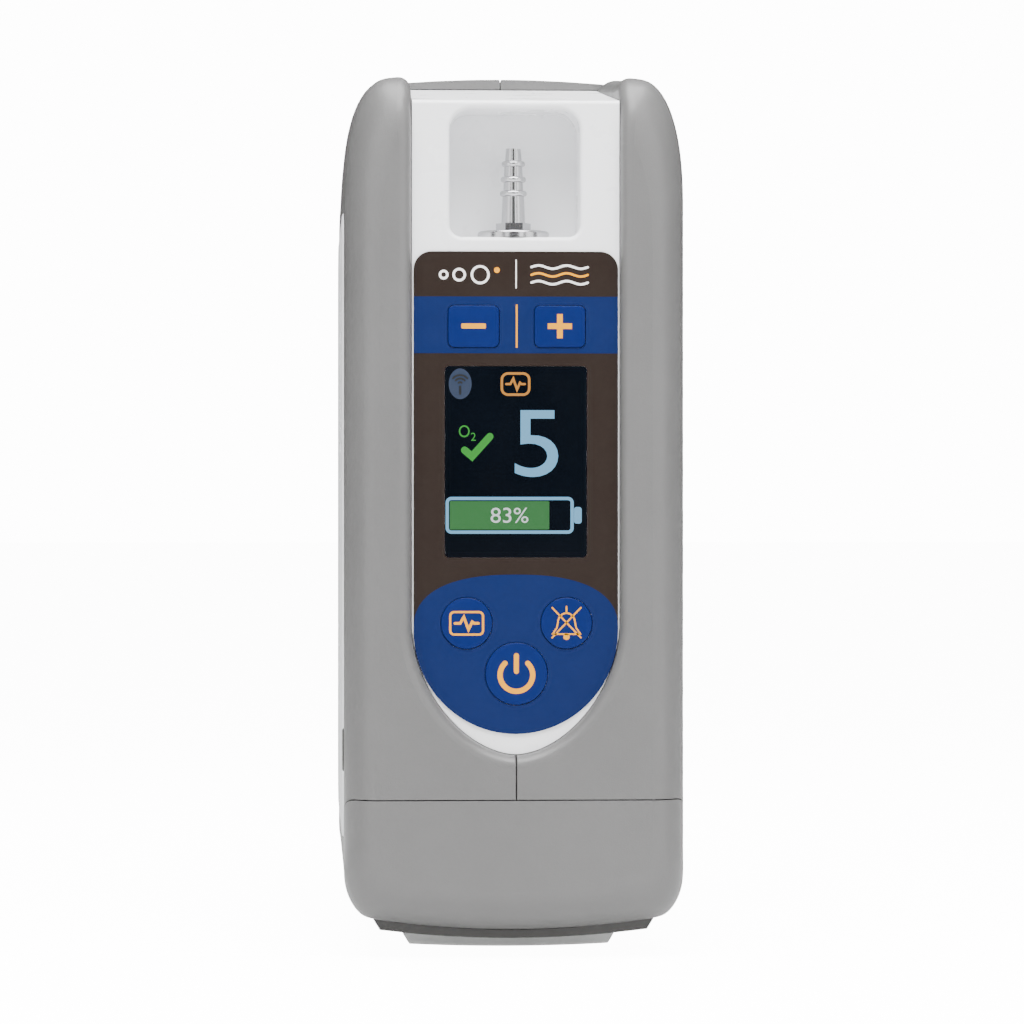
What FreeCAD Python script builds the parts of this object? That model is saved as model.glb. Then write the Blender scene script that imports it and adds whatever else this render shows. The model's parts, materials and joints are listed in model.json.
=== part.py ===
"""Portable pulse-dose oxygen concentrator, as an assembly of separate pieces.

Frame: X is the width (+X to the right of someone facing the control panel), the control panel faces -Y and
+Z is up. The origin is on the standing surface, under the middle of the object. Units are millimetres.
"""

import FreeCAD
import Part
import math
import os

Vec = FreeCAD.Vector
X_AXIS, Y_AXIS, Z_AXIS = Vec(1, 0, 0), Vec(0, 1, 0), Vec(0, 0, 1)

# ---------------------------------------------------------------- driving dimensions
# Outer body
HALF_WIDTH = 44.0  # grey shells, without the side panels
FRONT_Y, BACK_Y = -107.0, 107.0
BODY_FOOT_Z = 6.8  # lowest line of the crowned underside of the shells
FOOT_CROWN = 2.8  # rise of that underside from the middle to its edges
HORN_Z = 227.6  # top of the two cheeks beside the control panel
DECK_RISE = 6.2  # rise of the top from the cheeks to the deck
TAIL_FALL = 7.0  # fall of the top towards the back
TOP_CROWN = 1.4
FOOT_CORNER = {"x": 7.5, "z": 11.5, "power": 1.9}  # quarter superellipses of the cross-section
SHOULDER = {"x": 13.0, "z": 34.0, "power": 2.4}
PROFILE_COUNTS = (8, 5, 32, 10, 6)  # spans of the crown, lower corner, side, shoulder and deck
WALL = 2.4
SEAM_GAP = 0.3  # visible joint between two mouldings
HALF_SEAM = 0.12  # half of the joint between the left and right shells
FRONT_ROUND = {"depth": 13.0, "side": 9.0, "top": 13.0, "foot": 11.0}
BACK_ROUND = {"depth": 20.0, "side": 13.0, "top": 19.0, "foot": 12.0}

# Control panel recess, an upside-down arch that is open at the top
RECESS = {"half": 26.9, "spring_z": 86.0, "drop": 33.5, "power": 1.8}
BEZEL_Y = FRONT_Y + 3.5  # front face of the white bezel
BEZEL_WALL = 2.2
BEZEL_FIT = 0.2  # clearance of the bezel in the recess
PLATE_BACK = BEZEL_Y + BEZEL_WALL
RIB = 3.0  # shell rib round the recess
RIB_BACK = FRONT_Y + 9.0
BEZEL_BACK = RIB_BACK + 1.6
LIP_ROUND = 3.2
BEZEL_TOP_Z = 220.9  # where the bezel turns over the top
CHANNEL_END_Y, CHANNEL_END_Z = -14.0, 232.2  # foot of the deck's front lip
DECK_SLOPE = (CHANNEL_END_Z - BEZEL_TOP_Z) / (CHANNEL_END_Y - BEZEL_Y)

# Keypad, display and keys: centres (x, z) on the panel
OVERLAY = {"half": 26.3, "spring_z": 84.5, "drop": 26.6, "power": 2.0}
OVERLAY_TOP_Z = 182.0
OVERLAY_CORNER = 4.6
OVERLAY_THICK = 0.5
WINDOW = {"w": 36.7, "h": 49.3, "r": 1.2, "x": 0.0, "z": 127.9}
RECT_KEY = {"w": 13.1, "h": 10.8, "r": 1.6}
RECT_KEYS = {"button_minus": (-10.9, 162.7), "button_plus": (11.3, 162.7)}
ROUND_KEYS = {  # x, z, radius
    "button_mode": (-12.7, 86.4, 6.6),
    "button_mute": (13.0, 86.4, 6.6),
    "button_power": (0.1, 73.4, 8.0),
}
KEYS = [*RECT_KEYS, *ROUND_KEYS]
KEY_GAP = 0.15
KEY_PROUD = 0.35
FLANGE = 0.8  # rim that keeps a key behind the bezel

# Oxygen outlet
CUP = {"w": 33.7, "floor_z": 185.8, "top_z": 218.7, "depth": 19.5, "r_top": 5.6, "r_foot": 3.2}
OUTLET_Y = -94.0
OUTLET_X = -0.2

# Battery module
CAP_SEAM = {"y": -104.0, "z": 7.0, "reach": 25.0, "rise": 34.2}  # quarter ellipse of the cap's top edge
CASE = {"half": 36.0, "y0": -98.0, "y1": 72.0, "z0": 14.0, "split": 25.0, "z1": 38.0, "wall": 1.8}
CELL_RADIUS, CELL_LENGTH, CELL_COUNT, CELL_PITCH = 9.2, 65.0, 8, 19.0
FIRST_CELL_Y = -84.0
CELL_Z = 25.2

# Side panels
PANEL = {"y0": -78.0, "y1": 84.0, "z0": 28.0, "z1": 195.0, "r": 16.0}
PANEL_PROUD = 0.4
PANEL_GAP = 0.25
PANEL_THICK = 2.6
PANEL_LIP = 3.0

# Intake filter door in the left panel
DOOR = {"y0": -42.0, "y1": 14.0, "z0": 124.0, "z1": 184.0, "thick": 2.0}
DOOR_GAP = 0.3

# Cooling fan behind the right panel
FAN = {"y": -14.0, "z": 154.0, "size": 60.0, "x0": 26.3, "x1": 41.3, "bore": 28.0}

# Compressor
SHAFT_Z = 86.0
THROW = 2.5
PISTON = {"radius": 8.4, "thick": 4.0, "bore": 11.5}
FRONT_ROD_X, REAR_ROD_X = -2.0, 6.0

# Sieve beds
BED = {"x": 18.6, "y": 82.0, "r": 16.5, "z0": 50.0, "z1": 190.0}

TRAY_Z = 45.0  # underside of the inner tray that roofs the battery bay
TRAY_THICK = 2.5

# Screws, latch and inlet
SCREW = {"shank": 1.4, "head": 2.6, "head_h": 2.0, "length": 8.5, "hole": 1.45}
SHELL_BOSSES = [(99.0, 60.0), (99.0, 180.0), (4.0, 223.5), (40.0, 221.5)]  # y, z
FOOT_SCREWS = [(x, y) for x in (-17.0, 17.0) for y in (-44.0, 60.0)]
LATCH = {"y": -86.0, "z": 53.0, "w": 8.6, "h": 11.0, "r": 2.0}
JACK = {"x": -18.0, "z": 31.0, "r": 5.2}

finished = {}


# ---------------------------------------------------------------- small helpers
def keep(name, *shapes):
    """Stores one named piece; several shapes become a group of separate solids."""
    solids = [s for shape in shapes for s in shape.Solids]
    finished[name] = solids[0] if len(solids) == 1 else Part.makeCompound(solids)


def box(x0, x1, y0, y1, z0, z1):
    return Part.makeBox(x1 - x0, y1 - y0, z1 - z0, Vec(x0, y0, z0))


def rod(radius, start, axis, length):
    """Cylinder; a negative length runs against the axis."""
    if length < 0:
        start, length = start + axis * length, -length
    return Part.makeCylinder(radius, length, start, axis)


def ring(outer, inner, start, axis, length):
    return rod(outer, start, axis, length).cut(rod(inner, start - axis * 1.0, axis, length + 2.0))


def rounded_rect(w, h, r_top, r_foot, place):
    """Closed wire of a w x h rectangle with rounded corners; place(u, v) gives the 3-D point."""
    a, b = w / 2, h / 2
    k = 1 - math.sqrt(0.5)
    corners = [(a, b, r_top, -1, -1), (a, -b, r_foot, -1, 1), (-a, -b, r_foot, 1, 1), (-a, b, r_top, 1, -1)]
    bends = []
    for i, (cu, cv, r, su, sv) in enumerate(corners):
        level, upright = (cu + su * r, cv), (cu, cv + sv * r)
        first, last = (level, upright) if i % 2 == 0 else (upright, level)
        bends.append((first, (cu + su * r * k, cv + sv * r * k), last))
    edges = []
    for i, (first, middle, last) in enumerate(bends):
        edges.append(Part.Arc(place(*first), place(*middle), place(*last)).toShape())
        edges.append(Part.LineSegment(place(*last), place(*bends[(i + 1) % 4][0])).toShape())
    return Part.Wire(Part.__sortEdges__(edges))


def slab_y(w, h, r, x, z, y0, y1, r_foot=None):
    """Rounded rectangle in the XZ plane, extruded along Y."""
    wire = rounded_rect(w, h, r, r if r_foot is None else r_foot, lambda u, v: Vec(x + u, y0, z + v))
    return Part.Face(wire).extrude(Vec(0, y1 - y0, 0))


def slab_x(w, h, r, y, z, x0, x1):
    """Rounded rectangle in the YZ plane, extruded along X."""
    wire = rounded_rect(w, h, r, r, lambda u, v: Vec(x0, y + u, z + v))
    return Part.Face(wire).extrude(Vec(x1 - x0, 0, 0))


def slab_z(w, h, r, x, y, z0, z1):
    """Rounded rectangle in the XY plane, extruded along Z."""
    wire = rounded_rect(w, h, r, r, lambda u, v: Vec(x + u, y + v, z0))
    return Part.Face(wire).extrude(Vec(0, 0, z1 - z0))


def polygon_x(points, x0, x1):
    """Polygon of (y, z) points, extruded along X."""
    wire = Part.makePolygon([Vec(x0, y, z) for y, z in points + points[:1]])
    return Part.Face(wire).extrude(Vec(x1 - x0, 0, 0))


def polygon_y(points, y0, y1):
    """Polygon of (x, z) points, extruded along Y."""
    wire = Part.makePolygon([Vec(x, y0, z) for x, z in points + points[:1]])
    return Part.Face(wire).extrude(Vec(0, y1 - y0, 0))


def hexagon(across_corners, start, length):
    turns = [math.radians(60 * i) for i in range(7)]
    points = [start + Vec(math.cos(a), math.sin(a), 0) * (across_corners / 2) for a in turns]
    return Part.Face(Part.makePolygon(points)).extrude(Z_AXIS * length)


def fuse(*shapes):
    whole = shapes[0].fuse(list(shapes[1:])) if len(shapes) > 1 else shapes[0]
    return whole.removeSplitter()


def rounded(shape, radius, test):
    """Fillets the edges that pass the test; the shape is kept sharp if that can't be built."""
    edges = [e for e in shape.Edges if test(e)]
    try:
        result = shape.makeFillet(radius, edges)
        if result.isValid() and result.Solids:
            return result.Solids[0] if len(result.Solids) == 1 else result
    except Exception as problem:
        print("fillet left out:", radius, len(edges), problem)
    return shape


def mirrored(shape):
    return shape.mirror(Vec(0, 0, 0), X_AXIS)


def smooth(t):
    t = min(max(t, 0.0), 1.0)
    return t * t * (3 - 2 * t)


# ---------------------------------------------------------------- outer body
def ridge_height(y):
    """Height of the top over the shoulders at depth y."""
    rise = smooth((y + 100) / (CHANNEL_END_Y + 100))
    fall = smooth((y - 25) / 90)
    return HORN_Z + DECK_RISE * rise - TAIL_FALL * fall


def superellipse(half_x, half_z, power, angle):
    """Point of a quarter superellipse, angle from 0 on the x side to 90 degrees on the z side."""
    c, s = max(math.cos(angle), 0.0), max(math.sin(angle), 0.0)
    return half_x * c ** (2 / power), half_z * s ** (2 / power)


def body_profile(half, top, foot):
    """Right half of a cross-section: (x, z) points from the middle of the foot to the middle of the top."""
    foot_x, top_x = half - FOOT_CORNER["x"], half - SHOULDER["x"]
    low, high = foot + FOOT_CROWN + FOOT_CORNER["z"], top - SHOULDER["z"]
    shares = [i / 160 for i in range(161)]
    crown = [(foot_x * t, foot + FOOT_CROWN * t ** 2) for t in shares]
    corner = [superellipse(*FOOT_CORNER.values(), math.pi / 2 * (1 - t)) for t in shares]
    corner = [(foot_x + x, low - z) for x, z in corner]
    side = [(half, low + (high - low) * t) for t in shares]
    bend = [superellipse(*SHOULDER.values(), math.pi / 2 * t) for t in shares]
    bend = [(top_x + x, high + z) for x, z in bend]
    deck = [(top_x * (1 - t), top + TOP_CROWN * (1 - (1 - t) ** 2)) for t in shares]
    points = []
    for run, count in zip((crown, corner, side, bend, deck), PROFILE_COUNTS):
        points += evenly_spaced(run, count + 1)[:-1]
    return points + [deck[-1]]


def evenly_spaced(points, count):
    """The same run of (x, z) points, resampled to a number of equal steps."""
    lengths = [0.0]
    for (xa, za), (xb, zb) in zip(points, points[1:]):
        lengths.append(lengths[-1] + math.hypot(xb - xa, zb - za))
    result, i = [], 0
    for step in range(count):
        at = lengths[-1] * step / (count - 1)
        while i < len(points) - 2 and lengths[i + 1] < at:
            i += 1
        t = (at - lengths[i]) / (lengths[i + 1] - lengths[i])
        result.append(tuple(a + (b - a) * min(max(t, 0.0), 1.0) for a, b in zip(points[i], points[i + 1])))
    return result


def body_stations():
    """(y, share, end) along the body; share is 1 at the flat ends and 0 where their rounding is over."""
    front, back = FRONT_ROUND["depth"], BACK_ROUND["depth"]
    angles = [math.radians(15 * i) for i in range(7)]
    stations = [(FRONT_Y + front * (1 - math.cos(a)), 1 - math.sin(a), FRONT_ROUND) for a in angles]
    stations += [(y, 0.0, FRONT_ROUND) for y in (-80, -64, -50, -36, -18, 0, 20, 40, 56, 72)]
    stations += [(BACK_Y - back * (1 - math.cos(a)), 1 - math.sin(a), BACK_ROUND) for a in reversed(angles)]
    return stations


def half_body(inset):
    """Right half of the outer body as a solid, with its whole skin moved inwards by inset."""
    grid = []
    for y, share, end in body_stations():
        half = HALF_WIDTH - inset - end["side"] * share
        top = ridge_height(y) - inset - end["top"] * share
        foot = BODY_FOOT_Z + inset + end["foot"] * share
        scale = 1 - inset / BACK_Y
        grid.append([Vec(x, y * scale, z) for x, z in body_profile(half, top, foot)])
    skin = Part.BSplineSurface()
    skin.interpolate(grid)
    face = skin.toShape()
    ends = []
    middle = []
    for row in (grid[0], grid[-1]):
        edge = min(face.Edges, key=lambda e: e.CenterOfMass.distanceToPoint(middle_of(row)))
        spine = Part.LineSegment(edge.Vertexes[0].Point, edge.Vertexes[-1].Point).toShape()
        ends.append(Part.Face(Part.Wire([edge, spine])))
        middle.append(spine)
    for column in (0, -1):
        line = [row[column] for row in grid]
        middle.append(min(face.Edges, key=lambda e: e.CenterOfMass.distanceToPoint(middle_of(line))))
    centre = Part.Face(Part.Wire(Part.__sortEdges__(middle)))
    shell = Part.makeShell([face, centre, *ends])
    solid = Part.makeSolid(shell)
    if solid.Volume < 0:
        solid.reverse()
    return solid


def middle_of(points):
    """Average of a row of points, weighted by the length of the runs between them."""
    total, weight = Vec(), 0.0
    for a, b in zip(points, points[1:]):
        run = (b - a).Length
        total += (a + b) * 0.5 * run
        weight += run
    return total * (1 / weight)


def arch_prism(arch, grow, y0, y1, top_z, corner=0.0):
    """Prism along Y of an outline with straight sides, an arched foot and a straight top."""
    half = arch["half"] + grow
    spring = arch["spring_z"]
    drop = arch["drop"] + grow
    steps = 20
    foot = []
    for i in range(2 * steps + 1):
        angle = math.pi * i / (2 * steps)
        x, z = superellipse(half, drop, arch["power"], min(angle, math.pi - angle))
        foot.append(Vec(x if angle <= math.pi / 2 else -x, y0, spring - z))
    curve = Part.BSplineCurve()
    curve.interpolate(foot, InitialTangent=Vec(0, 0, -1), FinalTangent=Vec(0, 0, 1))
    edges = [curve.toShape()]
    left, right = Vec(-half, y0, top_z), Vec(half, y0, top_z)
    if corner:
        k = corner * (1 - math.sqrt(0.5))
        left_low, left_in = Vec(-half, y0, top_z - corner), Vec(-half + corner, y0, top_z)
        right_low, right_in = Vec(half, y0, top_z - corner), Vec(half - corner, y0, top_z)
        edges.append(Part.Arc(left_low, Vec(-half + k, y0, top_z - k), left_in).toShape())
        edges.append(Part.Arc(right_low, Vec(half - k, y0, top_z - k), right_in).toShape())
        edges.append(Part.LineSegment(left_in, right_in).toShape())
        left, right = left_low, right_low
    else:
        edges.append(Part.LineSegment(left, right).toShape())
    edges.append(Part.LineSegment(foot[-1], left).toShape())
    edges.append(Part.LineSegment(foot[0], right).toShape())
    wire = Part.Wire(Part.__sortEdges__(edges))
    return Part.Face(wire).extrude(Vec(0, y1 - y0, 0))


def channel_prism(grow, drop):
    """Space of the open channel over the bezel, from in front of the body to the deck's front lip."""
    end = CHANNEL_END_Y + grow
    points = [
        (FRONT_Y - 5, BEZEL_TOP_Z - drop),
        (BEZEL_Y, BEZEL_TOP_Z - drop),
        (end, CHANNEL_END_Z - drop),
        (end, 260),
        (FRONT_Y - 5, 260),
    ]
    half = RECESS["half"] + grow
    return polygon_x(points, -half, half)


def cap_region(shrink):
    """Space that belongs to the battery's cap: a slab whose top edge curves down towards the back."""
    y, z = CAP_SEAM["y"], CAP_SEAM["z"]
    reach, rise = CAP_SEAM["reach"] - shrink, CAP_SEAM["rise"] - shrink
    curve = Part.BSplineCurve()
    steps = 12
    turns = [math.pi / 2 * i / steps for i in range(steps + 1)]
    points = [Vec(-60, y + reach * math.sin(a), z + rise * math.cos(a)) for a in turns]
    curve.interpolate(points, InitialTangent=Y_AXIS, FinalTangent=-Z_AXIS)
    low = z - 20
    ahead = FRONT_Y - 20
    rest = [Vec(-60, y + reach, low), Vec(-60, ahead, low), Vec(-60, ahead, z + rise)]
    corners = [points[-1], *rest, points[0]]
    edges = [curve.toShape()]
    edges += [Part.LineSegment(a, b).toShape() for a, b in zip(corners, corners[1:])]
    return Part.Face(Part.Wire(edges)).extrude(Vec(120, 0, 0))


# ---------------------------------------------------------------- housing
def channel_top(y):
    return BEZEL_TOP_Z + DECK_SLOPE * (y - BEZEL_Y)


def below_channel(drop, y_end):
    """Everything under the sloping top surface of the bezel, lowered by drop."""
    points = [(FRONT_Y - 20, 40), (FRONT_Y - 20, BEZEL_TOP_Z - drop), (BEZEL_Y, BEZEL_TOP_Z - drop)]
    points += [(y_end, channel_top(y_end) - drop), (y_end, 40)]
    return polygon_x(points, -40, 40)


def panel_slab(x0, x1, grow):
    w, h = PANEL["y1"] - PANEL["y0"] + 2 * grow, PANEL["z1"] - PANEL["z0"] + 2 * grow
    y, z = (PANEL["y0"] + PANEL["y1"]) / 2, (PANEL["z0"] + PANEL["z1"]) / 2
    return slab_x(w, h, PANEL["r"] + grow, y, z, x0, x1)


def pan_outline(grow, z0, z1, half_top, half_foot):
    """Strip under the body with slanted ends, a crowned upper side and a slightly bowed front."""
    steps = 12
    top = [Vec(half_top * (2 * i / steps - 1), 0, 0) for i in range(steps + 1)]
    top = [Vec(p.x, 0, z1 + FOOT_CROWN * (p.x / 36) ** 2) for p in top]
    foot = [Vec(half_foot * (1 - 2 * i / steps), 0, 0) for i in range(steps + 1)]
    foot = [Vec(p.x, 0, z0 + 2.2 * (p.x / 36) ** 2) for p in foot]
    curves = []
    for run in (top, foot):
        curve = Part.BSplineCurve()
        curve.interpolate(run)
        curves.append(curve.toShape())
    sides = [Part.LineSegment(top[-1], foot[0]).toShape(), Part.LineSegment(foot[-1], top[0]).toShape()]
    face = Part.Face(Part.Wire(Part.__sortEdges__([curves[0], sides[0], curves[1], sides[1]])))
    face.translate(Vec(0, -120, 0))
    prism = face.extrude(Vec(0, 240, 0))
    return prism.common(bowed_plan(-93.0 - grow, 98.0 + grow, 2.4, 46, z0 - 5, z1 + 12))


def bowed_plan(y0, y1, bow, half, z0, z1):
    """Block whose front face bows forwards by bow over its width."""
    front = Part.Arc(Vec(-half, y0 + bow, z0), Vec(0, y0, z0), Vec(half, y0 + bow, z0)).toShape()
    outline = [(half, y0 + bow), (half, y1), (-half, y1), (-half, y0 + bow)]
    rest = Part.makePolygon([Vec(x, y, z0) for x, y in outline])
    wire = Part.Wire(Part.__sortEdges__([front, *rest.Edges]))
    return Part.Face(wire).extrude(Vec(0, 0, z1 - z0))


def on_lip(edge):
    """True for the front edge of the recess and the inner edges of the cheeks above it."""
    box_ = edge.BoundBox
    front = abs(edge.CenterOfMass.y - FRONT_Y) < 0.05 and box_.XMax < RECESS["half"] + 0.2 and box_.XMin > 0.1
    cheek = box_.ZMax > CHANNEL_END_Z and abs(box_.XMin - RECESS["half"]) < 0.05 and edge.Length > 60
    return front or cheek


def hollow_half(outer, inner):
    """One half of the housing as a thin wall, open at the recess and thickened round it."""
    under = BEZEL_WALL + BEZEL_FIT
    window = fuse(arch_prism(RECESS, 0.0, FRONT_Y - 10, BEZEL_BACK + 0.2, 260), channel_prism(0.0, under))
    open_front = rounded(outer.cut(window), LIP_ROUND, on_lip)
    rim = fuse(arch_prism(RECESS, RIB, FRONT_Y - 5, RIB_BACK, 260), channel_prism(RIB, under + 2.0))
    behind = box(-23.5, 23.5, RIB_BACK, CHANNEL_END_Y + 12, 100, CHANNEL_END_Z - 0.6)
    rim = rim.cut(below_channel(0.3, CHANNEL_END_Y + 10).common(behind))
    shell = open_front.cut(inner.cut(rim))
    start, tip = CHANNEL_END_Y - 18, CHANNEL_END_Y + 3.4
    corners = [(start, 0.25), (tip, 0.25), (tip, -2.5), (start, -2.5)]
    tongue_room = polygon_x([(y, channel_top(y) + dz) for y, dz in corners], -RECESS["half"], RECESS["half"])
    return shell.cut(tongue_room)


def add_side_seat(shell, outer):
    """Cuts the seat of a side panel, with the ledge behind it and two shelves for the tray."""
    shell = shell.cut(panel_slab(HALF_WIDTH - 2.6, HALF_WIDTH + 3, 0.0))
    ledge = panel_slab(38.6, 41.75, 2.2).cut(panel_slab(38, 42, -PANEL_LIP)).common(outer)
    shelves = fuse(box(34, 40.5, -78, -66, 42.3, 44.8), box(34, 42, 84, 92, 42.3, 44.8).common(outer))
    return fuse(shell, ledge, shelves)


def build_shells():
    outer = half_body(0.0)
    shell = add_side_seat(hollow_half(outer, half_body(WALL)), outer)
    for y, z in SHELL_BOSSES:
        at_back = y > 90
        block = box(0, 6.0, y - 4.4, BACK_Y if at_back else y + 4.4, z - 4.4, z + (4.4 if at_back else 14))
        shell = shell.fuse(block.common(outer))
    shell = shell.cut(cap_region(0.0)).cut(box(-1, 34.0, -71, 95.3, 0, 14))
    shell = shell.cut(box(-2, HALF_SEAM, -150, 150, -5, 300))
    shell = rounded(shell, 0.35, lambda e: e.BoundBox.XMax < HALF_SEAM + 0.01 and on_skin(e))
    right = shell.removeSplitter()
    left = mirrored(shell).removeSplitter()
    for y, z in SHELL_BOSSES:
        right = right.cut(rod(SCREW["hole"], Vec(-1, y, z), X_AXIS, 6.0))
        left = left.cut(rod(SCREW["hole"], Vec(-8, y, z), X_AXIS, 9.0))
        left = left.cut(rod(SCREW["head"] + 0.2, Vec(-12, y, z), X_AXIS, 12.0 - 4.0))
    # latch opening with its spring seat, and the power inlet
    y, z, w, h, r = (LATCH[key] for key in ("y", "z", "w", "h", "r"))
    seat = fuse(box(-34.4, -33.0, y - 4, -78.4, z - 5, z + 5), box(-42.0, -33.0, -80.2, -78.4, z - 5, z + 5))
    left = left.fuse(seat).removeSplitter()
    left = left.cut(slab_x(w + 0.6, h + 0.6, r, y, z, -50, -38))
    left = left.cut(rod(JACK["r"] + 0.15, Vec(JACK["x"], 98, JACK["z"]), Y_AXIS, 15))
    keep("left_shell", left)
    keep("right_shell", right)


def on_skin(edge):
    """True for the seam's outer edges over the deck, down the back and below the control panel."""
    c = edge.CenterOfMass
    over = c.z > ridge_height(c.y) - 1.0 and edge.Length > 100
    behind = c.y > BACK_Y - 0.5 and edge.Length > 100
    below = c.y < FRONT_Y + 0.3 and c.z < 60
    return over or behind or below


def build_base():
    pan = pan_outline(0.0, 4.4, BODY_FOOT_Z - 0.3, 36.6, 34.8)
    plug = box(-33.7, 33.7, -70.7, 95.0, 5.5, 13.6)
    pan = fuse(pan, plug)
    side = [(29.2, 4.4), (27.0, 0.8), (26.4, 0.0)]
    foot = polygon_y(side + [(-x, z) for x, z in reversed(side)], -90, 110)
    foot = foot.common(bowed_plan(-71.0, 85.0, 8.6, 29.6, -1, 5))
    foot = rounded(foot, 0.8, lambda e: (
        e.CenterOfMass.z < 0.1 and e.Length < 75 and abs(e.CenterOfMass.x) < 5
    ))
    for x, y in FOOT_SCREWS:
        foot = foot.cut(rod(SCREW["head"] + 0.2, Vec(x, y, -1), Z_AXIS, 3.6))
        foot = foot.cut(rod(SCREW["hole"], Vec(x, y, 0), Z_AXIS, 8))
        pan = pan.cut(rod(SCREW["hole"], Vec(x, y, 3), Z_AXIS, 8.6))
    keep("base_pan", pan)
    keep("foot_plate", foot)


def screw(start, axis):
    """Pan-head screw, head first, pointing along the axis."""
    head = rod(SCREW["head"], start - axis * SCREW["head_h"], axis, SCREW["head_h"])
    body = fuse(head, rod(SCREW["shank"], start, axis, SCREW["length"]))
    return body.cut(rod(0.9, start - axis * (SCREW["head_h"] + 1), axis, 2.2))


def build_screws():
    foot = [screw(Vec(x, y, 2.6), Z_AXIS) for x, y in FOOT_SCREWS]
    side = [screw(Vec(-4.0, y, z), X_AXIS) for y, z in SHELL_BOSSES]
    keep("housing_screws", *foot, *side)


def side_slots(panel, x0, x1):
    """Five breathing slots low at the back of a side panel."""
    for i in range(5):
        panel = panel.cut(slab_x(36, 2.4, 1.1, 40.0, 60.0 + 5.6 * i, x0, x1))
    return panel


def build_side_panels():
    face_x = HALF_WIDTH + PANEL_PROUD
    plain = panel_slab(face_x - PANEL_THICK, face_x, -PANEL_GAP)
    plain = rounded(plain, 1.2, lambda e: e.BoundBox.XMin > face_x - 0.01)
    right = plain
    for i in range(9):
        dz = (i - 4) * 5.6
        reach = math.sqrt(27.0 ** 2 - dz ** 2)
        right = right.cut(slab_x(2 * reach, 2.4, 1.1, FAN["y"], FAN["z"] + dz, 38, 48))
    keep("right_panel", side_slots(right, 38, 48))

    y0, y1, z0, z1, thick = (DOOR[key] for key in ("y0", "y1", "z0", "z1", "thick"))
    g, y_mid = DOOR_GAP, (y0 + y1) / 2
    left = mirrored(plain).cut(box(-face_x - 1, -face_x + thick + 0.1, y0 - g, y1 + g, z0 - g, z1 + g))
    left = left.cut(box(-face_x - 1, -40, y0 + 2.5, y1 - 2.5, z0 + 3, z1 - 2.5))
    left = left.cut(Part.makeSphere(7.0, Vec(-face_x - 5.0, y_mid, z1 + 3.0)))  # thumb notch
    hinge_x, hinge_z = -face_x + thick / 2, z0 + thick / 2
    left = left.cut(rod(0.65, Vec(hinge_x, y0 - 3.2, hinge_z), Y_AXIS, y1 - y0 + 6.4))
    keep("left_panel", side_slots(left, -48, -38))

    leaf = box(-face_x, -face_x + thick, y0, y1, hinge_z, z1)
    leaf = fuse(leaf, rod(thick / 2, Vec(hinge_x, y0, hinge_z), Y_AXIS, y1 - y0))
    leaf = fuse(leaf, rod(0.6, Vec(hinge_x, y0 - 3.0, hinge_z), Y_AXIS, y1 - y0 + 6.0))
    for i in range(8):
        leaf = leaf.cut(slab_x(44, 2.6, 1.2, y_mid, z0 + 9 + 6.1 * i, -face_x - 2, -face_x + 4))
    keep("filter_door", leaf)
    keep("intake_foam", slab_x(54, 58, 3, y_mid, (z0 + z1) / 2, -41.3, -36.3))


# ---------------------------------------------------------------- control panel
def key_slab(name, grow, y0, y1):
    if name in RECT_KEYS:
        x, z = RECT_KEYS[name]
        w, h = RECT_KEY["w"] + 2 * grow, RECT_KEY["h"] + 2 * grow
        return slab_y(w, h, RECT_KEY["r"] + grow, x, z, y0, y1)
    x, z, r = ROUND_KEYS[name]
    return rod(r + grow, Vec(x, y0, z), Y_AXIS, y1 - y0)


def bezel_plate():
    """Front plate with its tongue over the top, hollow behind, and the flange that the shells hold."""
    half = RECESS["half"] - BEZEL_FIT
    front = arch_prism(RECESS, -BEZEL_FIT, BEZEL_Y, BEZEL_BACK, 260)
    tongue = box(-half, half, BEZEL_Y, CHANNEL_END_Y + 3.0, 200, 260)
    plate = fuse(front, tongue).common(below_channel(0.0, CHANNEL_END_Y + 22))
    plate = rounded(plate, 1.1, lambda e: (
        abs(e.CenterOfMass.z - BEZEL_TOP_Z) < 0.05 and abs(e.CenterOfMass.y - BEZEL_Y) < 0.05
    ))
    hollow = arch_prism(RECESS, -BEZEL_FIT - BEZEL_WALL, PLATE_BACK, 0, 260)
    hollow = fuse(hollow, box(-40, 40, BEZEL_BACK, 10, 150, 260)).common(below_channel(BEZEL_WALL, 5))
    flange = arch_prism(RECESS, 2.4, RIB_BACK + 0.1, BEZEL_BACK, 212)
    flange = flange.cut(arch_prism(RECESS, -BEZEL_FIT - 1.2, RIB_BACK - 1, BEZEL_BACK + 1, 260))
    return fuse(plate.cut(hollow), flange)


def add_cup(body):
    """Soft-cornered cup for the outlet, with a rounded rim."""
    w, height, t = CUP["w"], CUP["top_z"] - CUP["floor_z"], BEZEL_WALL
    z, back = (CUP["top_z"] + CUP["floor_z"]) / 2, BEZEL_Y + CUP["depth"]
    r_top, r_foot = CUP["r_top"], CUP["r_foot"]
    cup = slab_y(w + 2 * t, height + 2 * t, r_top + t, OUTLET_X, z, PLATE_BACK - 0.5, back + t, r_foot + t)
    cup = cup.common(below_channel(0.4, 0))
    room = slab_y(w, height, r_top, OUTLET_X, z, BEZEL_Y - 5, back, r_foot)
    half = w / 2 + abs(OUTLET_X) + 0.1
    body = rounded(fuse(body, cup).cut(room), 1.2, lambda e: (
        abs(e.CenterOfMass.y - BEZEL_Y) < 0.02 and 184 < e.BoundBox.ZMin
        and max(abs(e.BoundBox.XMin), abs(e.BoundBox.XMax)) < half and e.BoundBox.ZMax < 219.0
    ))
    return body.cut(rod(4.1, Vec(OUTLET_X, OUTLET_Y, 170), Z_AXIS, 20))


def window_slab(grow, y0, y1):
    return slab_y(WINDOW["w"] + grow, WINDOW["h"] + grow, WINDOW["r"], WINDOW["x"], WINDOW["z"], y0, y1)


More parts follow.
